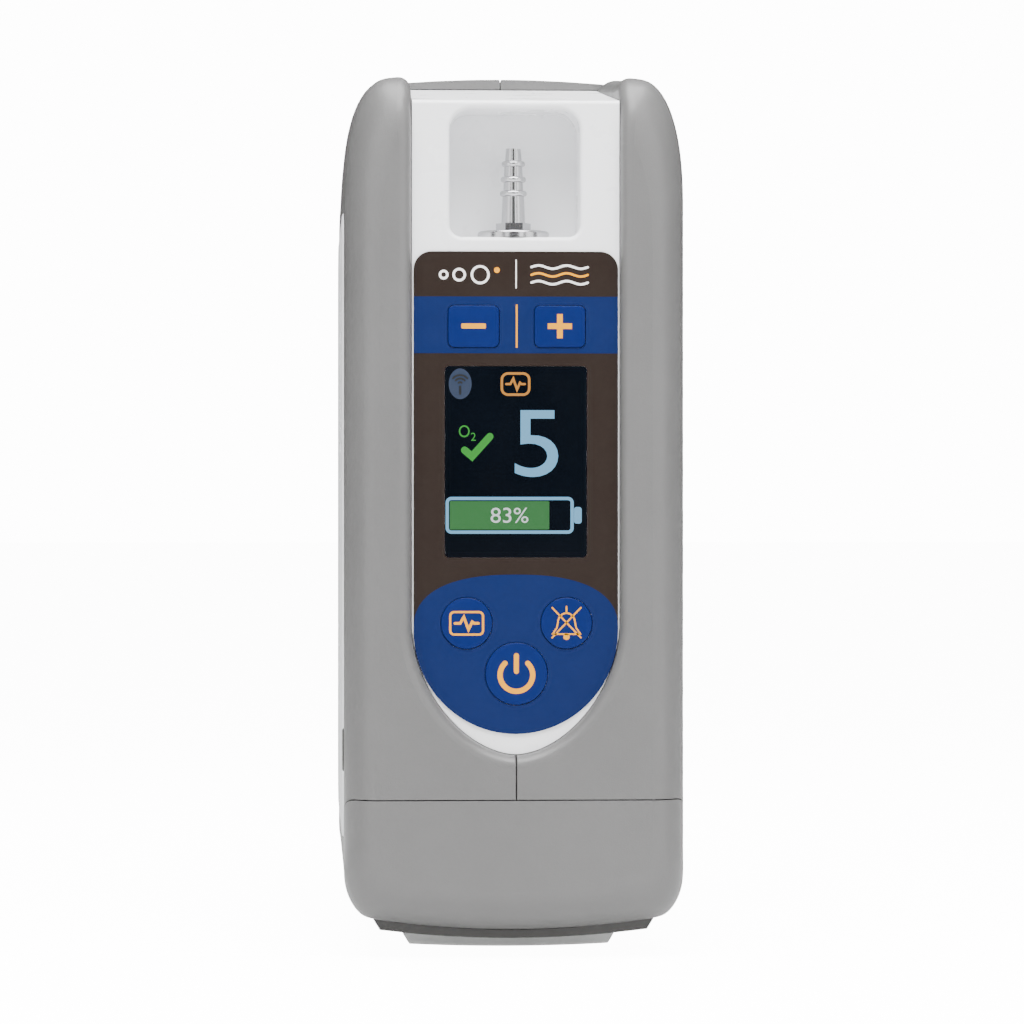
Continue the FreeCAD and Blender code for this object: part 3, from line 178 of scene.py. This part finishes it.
def object_space(tree, stretch=(1, 1, 1)):
    place = add(tree, "TexCoord")
    mapping = add(tree, "Mapping", _Scale=stretch)
    tree.links.new(place.outputs["Object"], mapping.inputs["Vector"])
    return mapping.outputs["Vector"]


def noise(tree, period, detail=3.0, roughness=0.55, stretch=(1, 1, 1)):
    """Noise whose main features repeat about every period millimetres."""
    node = add(tree, "TexNoise", _Scale=1 / (period * MM), _Detail=detail, _Roughness=roughness)
    tree.links.new(object_space(tree, stretch), node.inputs["Vector"])
    return node.outputs["Fac"]


def remap(tree, value, low, high, start=0.3, end=0.7):
    """Spreads value from start..end, where most of a noise lies, to low..high."""
    node = add(tree, "MapRange", _From_Min=start, _From_Max=end, _To_Min=low, _To_Max=high)
    tree.links.new(value, node.inputs["Value"])
    return node.outputs["Result"]


def tint(tree, factor, dark, light):
    node = add(tree, "Mix", data_type="RGBA")
    node.inputs[MIX_A].default_value = (*dark, 1)
    node.inputs[MIX_B].default_value = (*light, 1)
    tree.links.new(factor, node.inputs[0])
    return node.outputs[MIX_RESULT]


def total(tree, *values):
    result = values[0]
    for value in values[1:]:
        node = add(tree, "Math", operation="ADD")
        tree.links.new(result, node.inputs[0])
        tree.links.new(value, node.inputs[1])
        result = node.outputs[0]
    return result


def bump(tree, shader, height, depth):
    """Bump whose full height is depth millimetres."""
    node = add(tree, "Bump", _Strength=1.0, _Distance=depth * MM)
    tree.links.new(height, node.inputs["Height"])
    tree.links.new(node.outputs["Normal"], shader.inputs["Normal"])


def shade(colour, factor):
    return tuple(min(c * factor, 1.0) for c in colour)


def colour_from(tree, shader, factor, dark, light):
    tree.links.new(tint(tree, factor, dark, light), shader.inputs["Base Color"])


def roughness_from(tree, shader, value, low, high):
    tree.links.new(remap(tree, value, low, high), shader.inputs["Roughness"])


def moulded(name, colour, rough, grain=0.35, depth=0.02, cloud=0.04, specular=0.5):
    """Moulded plastic: slow colour drift, uneven gloss and a fine spark-eroded grain."""
    material, tree, shader = new_material(name)
    drift = noise(tree, 38)
    fine = noise(tree, grain * 2.2, detail=2.0, roughness=0.6)
    mixed = total(tree, remap(tree, drift, 0.0, 0.75), remap(tree, fine, 0.0, 0.25))
    colour_from(tree, shader, mixed, shade(colour, 1 - cloud), shade(colour, 1 + cloud))
    roughness_from(tree, shader, noise(tree, 14, detail=4.0), rough - 0.05, rough + 0.06)
    shader.inputs["Specular IOR Level"].default_value = specular
    bump(tree, shader, noise(tree, grain, detail=2.0, roughness=0.7), depth)
    return material


def printed(name, colour, rough=0.42, depth=0.008):
    """Printed polyester film with the fine cross-hatch of its textured face."""
    weave, cloud = 0.30, 0.06
    material, tree, shader = new_material(name)
    lines = []
    for direction in ("X", "Z"):
        wave = add(
            tree,
            "TexWave",
            bands_direction=direction,
            wave_profile="SIN",
            _Scale=WAVE_PERIOD / (weave * MM),
            _Distortion=0.6,
        )
        tree.links.new(object_space(tree), wave.inputs["Vector"])
        lines.append(wave.outputs["Fac"])
    hatch = total(tree, *lines)
    fleck = remap(tree, noise(tree, 0.5, roughness=0.7), 0.0, 0.5)
    cloudy = remap(tree, noise(tree, 16), 0.0, 0.5)
    mixed = total(tree, fleck, cloudy)
    colour_from(tree, shader, mixed, shade(colour, 1 - cloud), shade(colour, 1 + cloud))
    roughness_from(tree, shader, noise(tree, 6), rough - 0.05, rough + 0.07)
    shader.inputs["Specular IOR Level"].default_value = 0.12
    bump(tree, shader, hatch, depth)
    return material


def metal(name, colour, rough, period=0.6, stretch=(1, 1, 1), depth=0.004, spread=0.06):
    """Machined or plated metal with fine tool marks, close together where stretch is large."""
    material, tree, shader = new_material(name)
    marks = noise(tree, period, detail=4.0, roughness=0.65, stretch=stretch)
    colour_from(tree, shader, marks, shade(colour, 0.93), shade(colour, 1.05))
    roughness_from(tree, shader, marks, rough - spread / 2, rough + spread)
    shader.inputs["Metallic"].default_value = 1.0
    bump(tree, shader, marks, depth)
    return material


def rubber(name, colour, rough=0.7):
    """Matt rubber or soft plastic with a slow drift in its colour and a rough grain."""
    material, tree, shader = new_material(name)
    drift = noise(tree, 12, detail=4.0)
    colour_from(tree, shader, drift, shade(colour, 0.9), shade(colour, 1.12))
    roughness_from(tree, shader, noise(tree, 4), rough - 0.06, rough + 0.08)
    shader.inputs["Specular IOR Level"].default_value = 0.35
    bump(tree, shader, noise(tree, 0.6, roughness=0.7), 0.03)
    return material


def glowing(name, colour, strength):
    """A lit patch of the display: the grid of its dots dims it a little."""
    material, tree, shader = new_material(name)
    grid = noise(tree, 0.25, detail=1.0)
    tree.links.new(tint(tree, grid, shade(colour, 0.9), colour), shader.inputs["Emission Color"])
    shader.inputs["Base Color"].default_value = (*shade(colour, 0.05), 1)
    shader.inputs["Emission Strength"].default_value = strength
    shader.inputs["Roughness"].default_value = 0.5
    return material


def foam(name, colour):
    """Open-cell foam: painted shade in the pores makes them darker than the lighter walls between them.
    """
    material, tree, shader = new_material(name)
    cells = add(tree, "TexVoronoi", _Scale=1 / (0.9 * MM), feature="DISTANCE_TO_EDGE")
    tree.links.new(object_space(tree), cells.inputs["Vector"])
    wall = remap(tree, cells.outputs["Distance"], 1.0, 0.0, 0.0, 0.25)
    # painted shade: towards the middle of each cell, in the pores, the colour falls to 0.3 of the foam's
    # own
    colour_from(tree, shader, wall, shade(colour, 0.3), colour)
    shader.inputs["Roughness"].default_value = 0.95
    bump(tree, shader, wall, 0.3)
    return material


# ---------------------------------------------------------------- materials
GREY = (0.116, 0.115, 0.114)
WHITE = (0.92, 0.925, 0.94)
PANEL_WHITE = (0.80, 0.81, 0.82)
GLASS = (0.0015, 0.0025, 0.0045)
BOARD_GREEN = (0.012, 0.12, 0.05)

LOOKS = {
    "housing_grey": moulded("housing_grey", GREY, 0.38, grain=0.36, depth=0.034, cloud=0.05),
    "panel_white": moulded("panel_white", PANEL_WHITE, 0.45, grain=0.3, depth=0.012, cloud=0.02),
    "bezel_white": moulded("bezel_white", WHITE, 0.30, grain=0.25, depth=0.004, cloud=0.012),
    "keypad_film": printed("keypad_film", (0.0170, 0.0110, 0.0086)),
    "display_glass": moulded(
        "display_glass", GLASS, 0.10, grain=2.0, depth=0.0005, cloud=0.2, specular=0.16
    ),
    "key_blue": printed("key_blue", (0.0012, 0.0100, 0.081), 0.42, depth=0.005),
    "fitting_metal": metal("fitting_metal", (0.50, 0.50, 0.51), 0.20, 0.4, (1, 1, 6), 0.002),
    "base_dark": moulded("base_dark", (0.046, 0.045, 0.043), 0.5, grain=0.4, depth=0.03),
    "foot_light": rubber("foot_light", (0.82, 0.83, 0.82), 0.6),
    "inner_plastic": moulded("inner_plastic", (0.035, 0.036, 0.038), 0.5, grain=0.4),
    "circuit_board": moulded("circuit_board", BOARD_GREEN, 0.32, grain=1.6, depth=0.02, cloud=0.25),
    "component_black": moulded("component_black", (0.02, 0.02, 0.022), 0.4, grain=0.5),
    "hose_clear": rubber("hose_clear", (0.62, 0.63, 0.60), 0.35),
    "mount_rubber": rubber("mount_rubber", (0.025, 0.025, 0.025), 0.75),
    "steel": metal("steel", (0.52, 0.52, 0.53), 0.30, 0.8, (4, 1, 1), 0.004),
    "light_alloy": metal("light_alloy", (0.66, 0.66, 0.67), 0.42, 1.2, (1, 1, 1), 0.02, 0.12),
    "cell_wrap": moulded("cell_wrap", (0.05, 0.20, 0.10), 0.28, grain=3.0, depth=0.02, cloud=0.1),
    "filter_foam": foam("filter_foam", (0.05, 0.05, 0.055)),
    "copper": metal("copper", (0.72, 0.36, 0.22), 0.28, 1.0, (1, 4, 1), 0.005),
}
BAND_BLUE = printed("band_blue", (0.0032, 0.0112, 0.066), 0.45)
PRINT_ORANGE = printed("print_orange", (0.72, 0.29, 0.004), 0.45, depth=0.003)
PRINT_WHITE = printed("print_white", (0.82, 0.81, 0.79), 0.45, depth=0.003)

for row in frame["record"]["subparts"]:
    node = nodes[row["node"]]
    node.data.materials.clear()
    node.data.materials.append(LOOKS[row["material_slot"]])


# ---------------------------------------------------------------- flat printed shapes
SHARPEST = 0.35  # keeps the outline of a stroke near its line at a sharp turn
ROUND_STEPS = 6  # per rounded corner or stroke end


def mesh_piece(name, mesh, material, body):
    piece = bpy.data.objects.new(name, mesh)
    bpy.context.collection.objects.link(piece)
    mesh.materials.clear()
    mesh.materials.append(material)
    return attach(piece, body)


def flat(name, loops, front, thick, material, body="housing"):
    """Plate from front to front + thick along Y, inside closed loops of (x, z). Inner loops are holes."""
    data = bpy.data.curves.new(name + "-outline", "CURVE")
    data.dimensions = "2D"
    data.fill_mode = "BOTH"
    data.extrude = thick * MM / 2
    for loop in loops:
        spline = data.splines.new("POLY")
        spline.points.add(len(loop) - 1)
        for point, (x, z) in zip(spline.points, loop):
            point.co = (x * MM, z * MM, 0, 1)
        spline.use_cyclic_u = True
    return from_curve(name, data, front, thick, material, body)


def from_curve(name, data, front, thick, material, body, fit=None):
    """Turns a flat curve or text into a plate facing -Y, scaled into fit = (x0, x1, z0, z1) if given."""
    source = bpy.data.objects.new(name + "-source", data)
    bpy.context.collection.objects.link(source)
    bpy.context.view_layer.update()
    evaluated = source.evaluated_get(bpy.context.evaluated_depsgraph_get())
    mesh = bpy.data.meshes.new_from_object(evaluated)
    bpy.data.objects.remove(source)
    if fit:
        xs, zs = [v.co.x for v in mesh.vertices], [v.co.y for v in mesh.vertices]
        x0, x1, z0, z1 = (value * MM for value in fit)
        for v in mesh.vertices:
            v.co.x = x0 + (v.co.x - min(xs)) / (max(xs) - min(xs)) * (x1 - x0)
            v.co.y = z0 + (v.co.y - min(zs)) / (max(zs) - min(zs)) * (z1 - z0)
    middle = (front + thick / 2) * MM
    for v in mesh.vertices:
        v.co = (v.co.x, middle - v.co.z, v.co.y)
    mesh.name = name
    return mesh_piece(name, mesh, material, body)


def writing(name, text, fit, front, thick, material):
    """Letters of the display picture, stretched into fit."""
    data = bpy.data.curves.new(name + "-text", "FONT")
    data.body = text
    data.size = 0.01
    data.extrude = thick * MM / 2
    data.resolution_u = 6
    return from_curve(name, data, front, thick, material, "housing", fit)


def arc(cx, cz, rx, rz, start, end, steps):
    """Points on an ellipse from start to end degrees, counter-clockwise from +X."""
    angles = [math.radians(start + (end - start) * i / steps) for i in range(steps + 1)]
    return [(cx + rx * math.cos(a), cz + rz * math.sin(a)) for a in angles]


def rounded_box(x, z, w, h, r):
    points = []
    for sx, sz, start in ((1, 1, 0), (-1, 1, 90), (-1, -1, 180), (1, -1, 270)):
        corner = x + sx * (w / 2 - r), z + sz * (h / 2 - r)
        points += arc(*corner, r, r, start, start + 90, ROUND_STEPS)
    return points


def frame_loops(x, z, w, h, r, line):
    """Outer and inner loop of a frame whose line is of even width."""
    inner = rounded_box(x, z, w - 2 * line, h - 2 * line, r - line)
    return [rounded_box(x, z, w, h, r), inner[::-1]]


def circle(x, z, r, steps=64):
    return arc(x, z, r, r, 0, 360, steps)[:-1]


def stroke(points, width):
    """Closed outline of a line of even width with round ends."""
    half = width / 2
    left, right = [], []
    for i, (x, z) in enumerate(points):
        before, after = points[max(i - 1, 0)], points[min(i + 1, len(points) - 1)]
        arriving = Vector((x - before[0], z - before[1]))
        leaving = Vector((after[0] - x, after[1] - z))
        arriving = arriving.normalized() if arriving.length else leaving.normalized()
        leaving = leaving.normalized() if leaving.length else arriving
        normal = Vector((-(arriving.y + leaving.y), arriving.x + leaving.x)).normalized()
        reach = half / max(normal.dot(Vector((-arriving.y, arriving.x))), SHARPEST)
        left.append((x + normal.x * reach, z + normal.y * reach))
        right.append((x - normal.x * reach, z - normal.y * reach))

    def round_end(centre, corner):
        angle = math.degrees(math.atan2(corner[1] - centre[1], corner[0] - centre[0]))
        return arc(*centre, half, half, angle, angle + 180, ROUND_STEPS)[1:-1]

    return right + round_end(points[-1], right[-1]) + left[::-1] + round_end(points[0], left[0])


def pulse_points(x, z, w, h):
    """A flat line with one breath-like pulse in it."""
    shape = ((-0.5, 0), (-0.28, 0), (-0.12, 0.5), (0.08, -0.5), (0.24, 0.12), (0.32, 0), (0.5, 0))
    return [(x + a * w, z + b * h) for a, b in shape]


# ---------------------------------------------------------------- control panel
def key_place(node):
    """Middle and half width of a key, in millimetres."""
    low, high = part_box(node)
    centre = (low + high) / 2 / MM
    return centre.x, centre.z, (high.x - low.x) / 2 / MM


film_low, film_high = (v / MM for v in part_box("keypad_overlay"))
LAYER = film_low.y - PRINT
FILM_HALF = film_high.x
KEY_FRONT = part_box("button_power")[0].y / MM
RECT_KEYS = {name: key_place(name) for name in ("button_minus", "button_plus")}
ROUND_KEYS = {name: key_place(name) for name in ("button_mode", "button_mute", "button_power")}
ROUND_KEYS = {name: (x, z, r - FLANGE) for name, (x, z, r) in ROUND_KEYS.items()}


def bean_outline():
    """Lower printed field: a flattened superellipse above the film's own arched foot."""
    top = []
    k = 2 / BEAN["power"]
    for i in range(EDGE_STEPS + 1):
        a = math.pi * i / EDGE_STEPS
        c, s = math.cos(a), math.sin(a)
        x = math.copysign(abs(c) ** k * FILM_HALF, c)
        top.append((x, BEAN["z"] + BEAN["rise"] * max(s, 0) ** k))
    return top + arc(0, ARCH["spring_z"], FILM_HALF, ARCH["drop"], 180, 360, EDGE_STEPS)


def print_fields():
    """The two blue fields, with a clear hole round each key."""
    low, high = BAND
    band = [(-FILM_HALF, low), (FILM_HALF, low), (FILM_HALF, high), (-FILM_HALF, high)]
    w, h, r = RECT_SIZE
    holes = [rounded_box(x, z, w + 2 * RIM, h + 2 * RIM, r + RIM) for x, z, _ in RECT_KEYS.values()]
    flat("band_print", [band, *holes], LAYER, PRINT, BAND_BLUE)
    holes = [circle(x, z, r + RIM) for x, z, r in ROUND_KEYS.values()]
    flat("lower_print", [bean_outline(), *holes], LAYER, PRINT, BAND_BLUE)
    flat("key_divider", [rounded_box(*KEY_DIVIDER)], LAYER - PRINT, PRINT, PRINT_ORANGE)


def print_head():
    """Two generic marks at the head: a row of bubbles and three waves of a breeze."""
    flat("head_divider", [rounded_box(*HEAD_DIVIDER)], LAYER, PRINT, PRINT_WHITE)
    for i, (x, r) in enumerate(BUBBLES):
        rings = [circle(x, HEAD_Z, r), circle(x, HEAD_Z, r - BUBBLE_LINE)[::-1]]
        flat(f"bubble_{i}", rings, LAYER, PRINT, PRINT_WHITE)
    flat("bubble_spark", [circle(*SPARK, 32)], LAYER, PRINT, PRINT_ORANGE)
    for i, row_up in enumerate((1, 0, -1)):
        z = HEAD_Z + BREEZE["pitch"] * row_up
        wave = []
        for t in range(BREEZE_STEPS + 1):
            swing = BREEZE["swing"] * math.sin(2 * math.pi * t / BREEZE_WAVE_STEPS)
            wave.append((BREEZE["x"] + BREEZE["length"] * t / BREEZE_STEPS, z + swing))
        material = PRINT_WHITE if row_up else PRINT_ORANGE
        flat(f"breeze_{i}", [stroke(wave, BREEZE["line"])], LAYER, PRINT, material)


def key_glyph(name, loops, index=0):
    """One part of the sign on a key. It rides on the key."""
    mark = f"{name}_mark_{index}"
    flat(mark, loops, KEY_FRONT - SIGN, SIGN, PRINT_ORANGE, KEY_BODY[name])


def mark_minus_and_plus():
    x, z, _ = RECT_KEYS["button_minus"]
    key_glyph("button_minus", [rounded_box(x, z + SIGN_RISE, *MINUS_SIZE)])
    x, z, _ = RECT_KEYS["button_plus"]
    arm, half = PLUS_ARM, PLUS_HALF_LINE
    cross = [(half, half), (half, arm), (-half, arm), (-half, half), (-arm, half), (-arm, -half)]
    cross += [(-half, -half), (-half, -arm), (half, -arm), (half, -half), (arm, -half), (arm, half)]
    key_glyph("button_plus", [[(x + u, z + SIGN_RISE + v) for u, v in cross]])


def mark_power():
    x, z, _ = ROUND_KEYS["button_power"]
    r = POWER_RING["radius"]
    ring_line = arc(x, z - POWER_RING["drop"], r, r, POWER_RING["from"], POWER_RING["to"], 56)
    key_glyph("button_power", [stroke(ring_line, POWER_RING["line"])])
    bar = [(x, z + POWER_BAR["high"]), (x, z + POWER_BAR["low"])]
    key_glyph("button_power", [stroke(bar, POWER_BAR["line"])], 1)


def mark_mode():
    x, z, _ = ROUND_KEYS["button_mode"]
    key_glyph("button_mode", [rounded_box(x, z, *MODE_OUTER), rounded_box(x, z, *MODE_INNER)[::-1]])
    key_glyph("button_mode", [stroke(pulse_points(x, z, *MODE_PULSE["size"]), MODE_PULSE["line"])], 1)


def mark_mute():
    """A bell that is crossed out."""
    x, z, _ = ROUND_KEYS["button_mute"]
    bell = BELL_RIGHT_SIDE + arc(*BELL_DOME, 0, 180, 14) + BELL_LEFT_SIDE
    half, low = BELL_RIM
    knob_high, knob_low = BELL_KNOB
    lines = [
        [(x + u, z + v) for u, v in bell],
        [(x - half, z + low), (x + half, z + low)],
        [(x, z + knob_high), (x, z + knob_low)],
    ]
    reach, high, foot = BELL_CROSS
    for side in (-1, 1):
        lines.append([(x + side * reach, z + high), (x - side * reach, z + foot)])
    for index, line in enumerate(lines):
        key_glyph("button_mute", [stroke(line, BELL_LINE)], index)
    clapper_z, clapper_r = BELL_CLAPPER
    key_glyph("button_mute", [circle(x, z + clapper_z, clapper_r, 32)], len(lines))


# ---------------------------------------------------------------- display picture
LENS_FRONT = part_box("display_window")[0].y / MM
ICE = glowing("picture_ice", (0.17, 0.50, 0.80), 1.0)
GREEN = glowing("picture_green", (0.0, 0.36, 0.0), 1.0)
FILL = glowing("picture_fill", (0.0, 0.17, 0.014), 1.0)
NUMBER = glowing("picture_number", (0.85, 0.93, 0.95), 1.0)
AMBER = glowing("picture_amber", (0.80, 0.30, 0.01), 0.9)
DIM_BLUE = glowing("picture_dim_blue", (0.002, 0.030, 0.105), 0.8)
UNLIT = moulded("picture_unlit", (0.0025, 0.0035, 0.0055), 0.3, grain=0.5, depth=0.0005, cloud=0.2)


def lit(name, loops, material, layer=1):
    flat("picture_" + name, loops, LENS_FRONT - LIT * layer, LIT, material)


def lit_text(name, words, fit, material, layer=1):
    writing("picture_" + name, words, fit, LENS_FRONT - LIT * layer, LIT, material)


def draw_display():
    """Flow number, gas sign with its tick, battery charge, mode sign and a dim sign for the link."""
    lit_text("flow_number", "5", FLOW_NUMBER_BOX, ICE)
    lit_text("gas_letter", "O", GAS_LETTER_BOX, GREEN)
    lit_text("gas_number", "2", GAS_NUMBER_BOX, GREEN)
    lit("tick", [stroke(TICK, TICK_LINE)], GREEN)
    lit("cell_outline", frame_loops(*CELL_OUTLINE), ICE)
    lit("cell_nub", [rounded_box(*CELL_NUB)], ICE)
    lit("cell_fill", [rounded_box(*CELL_FILL)], FILL)
    lit_text("charge", "83%", CHARGE_BOX, NUMBER, 2)
    lit("mode_frame", frame_loops(*PULSE_AT, *PULSE_FRAME), AMBER)
    lit("mode_pulse", [stroke(pulse_points(*PULSE_AT, *PULSE["size"]), PULSE["line"])], AMBER)
    lit("link", [arc(*LINK_OVAL, 0, 360, 48)[:-1]], DIM_BLUE)
    mast = [(LINK_X, LINK_MAST["high"]), (LINK_X, LINK_MAST["low"])]
    lit("link_mast", [stroke(mast, LINK_MAST["line"])], UNLIT, 2)
    waves = LINK_WAVES
    for i, r in enumerate(waves["radii"]):
        bow = arc(LINK_X, waves["z"], r, r * waves["flatness"], waves["from"], waves["to"], 12)
        lit(f"link_wave_{i}", [stroke(bow, waves["line"])], UNLIT, 2)


# ---------------------------------------------------------------- latch spring
def shorten_spring():
    """A copy of the spring in its own mesh, on the housing, in place of the imported spring."""
    source = nodes["latch_spring"]
    mesh = source.data.copy()
    mesh.transform(source.matrix_world)
    spring = mesh_piece("latch_spring_coils", mesh, LOOKS["steel"], "housing")
    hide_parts("latch_spring")
    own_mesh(spring)


# ---------------------------------------------------------------- studio
def area_light(name, place, target, size, power):
    data = bpy.data.lights.new(name, "AREA")
    data.shape = "RECTANGLE"
    data.size, data.size_y = size
    data.energy = power
    light = bpy.data.objects.new(name, data)
    bpy.context.collection.objects.link(light)
    light.location = place
    light.rotation_euler = (Vector(target) - Vector(place)).to_track_quat("-Z", "Y").to_euler()


def floor_material():
    """Pale paper that glows a little and shows nearly white to the camera."""
    material, tree, shader = new_material("floor_paper")
    shader.inputs["Base Color"].default_value = (PAPER, PAPER, PAPER, 1)
    shader.inputs["Roughness"].default_value = 0.85
    shader.inputs["Specular IOR Level"].default_value = 0.1
    shader.inputs["Emission Color"].default_value = (1, 1, 1, 1)
    path = add(tree, "LightPath")
    glow = add(tree, "Math", operation="MULTIPLY_ADD")  # camera ray or not, x PAPER_GLOW + TABLE_GLOW
    glow.inputs[1].default_value = PAPER_GLOW
    glow.inputs[2].default_value = TABLE_GLOW
    tree.links.new(path.outputs["Is Camera Ray"], glow.inputs[0])
    tree.links.new(glow.outputs[0], shader.inputs["Emission Strength"])
    return material


def lay_floor():
    mesh = bpy.data.meshes.new("floor")
    half = FLOOR_HALF
    corners = [(-half, -half, 0), (half, -half, 0), (half, half, 0), (-half, half, 0)]
    mesh.from_pydata(corners, [], [(0, 1, 2, 3)])
    floor = bpy.data.objects.new("floor", mesh)
    bpy.context.collection.objects.link(floor)
    mesh.materials.append(floor_material())


def light_room():
    """A wall that shows nearly white to the camera and gives only a little light."""
    world = bpy.data.worlds.new("studio")
    bpy.context.scene.world = world
    world.use_nodes = True
    tree = world.node_tree
    background = tree.nodes["Background"]
    path = add(tree, "LightPath")
    mix = add(tree, "Mix")
    mix.inputs[MIX_LOW].default_value = FILL_LIGHT
    mix.inputs[MIX_HIGH].default_value = BACKDROP
    tree.links.new(path.outputs["Is Camera Ray"], mix.inputs[0])
    tree.links.new(mix.outputs[0], background.inputs["Strength"])
    background.inputs["Color"].default_value = (1, 1, 1, 1)


def place_camera():
    data = bpy.data.cameras.new("camera")
    data.sensor_width = 36
    data.lens = CAMERA["lens"]
    data.shift_x = CAMERA["shift_x"]
    data.clip_end = 20
    eye = bpy.data.objects.new("camera", data)
    bpy.context.collection.objects.link(eye)
    front_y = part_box("battery_cap")[0].y
    turn = math.radians(CAMERA["azimuth"])
    back = Vector((math.sin(turn), -math.cos(turn), 0)) * CAMERA["distance"]
    eye.location = Vector((0, front_y, CAMERA["height"])) + back
    eye.rotation_euler = (-back).to_track_quat("-Z", "Y").to_euler()
    bpy.context.scene.camera = eye


print_fields()
print_head()
mark_minus_and_plus()
mark_power()
mark_mode()
mark_mute()
draw_display()
shorten_spring()
lay_floor()
for light_name, settings in LIGHTS.items():
    area_light(light_name, *settings)
light_room()
place_camera()
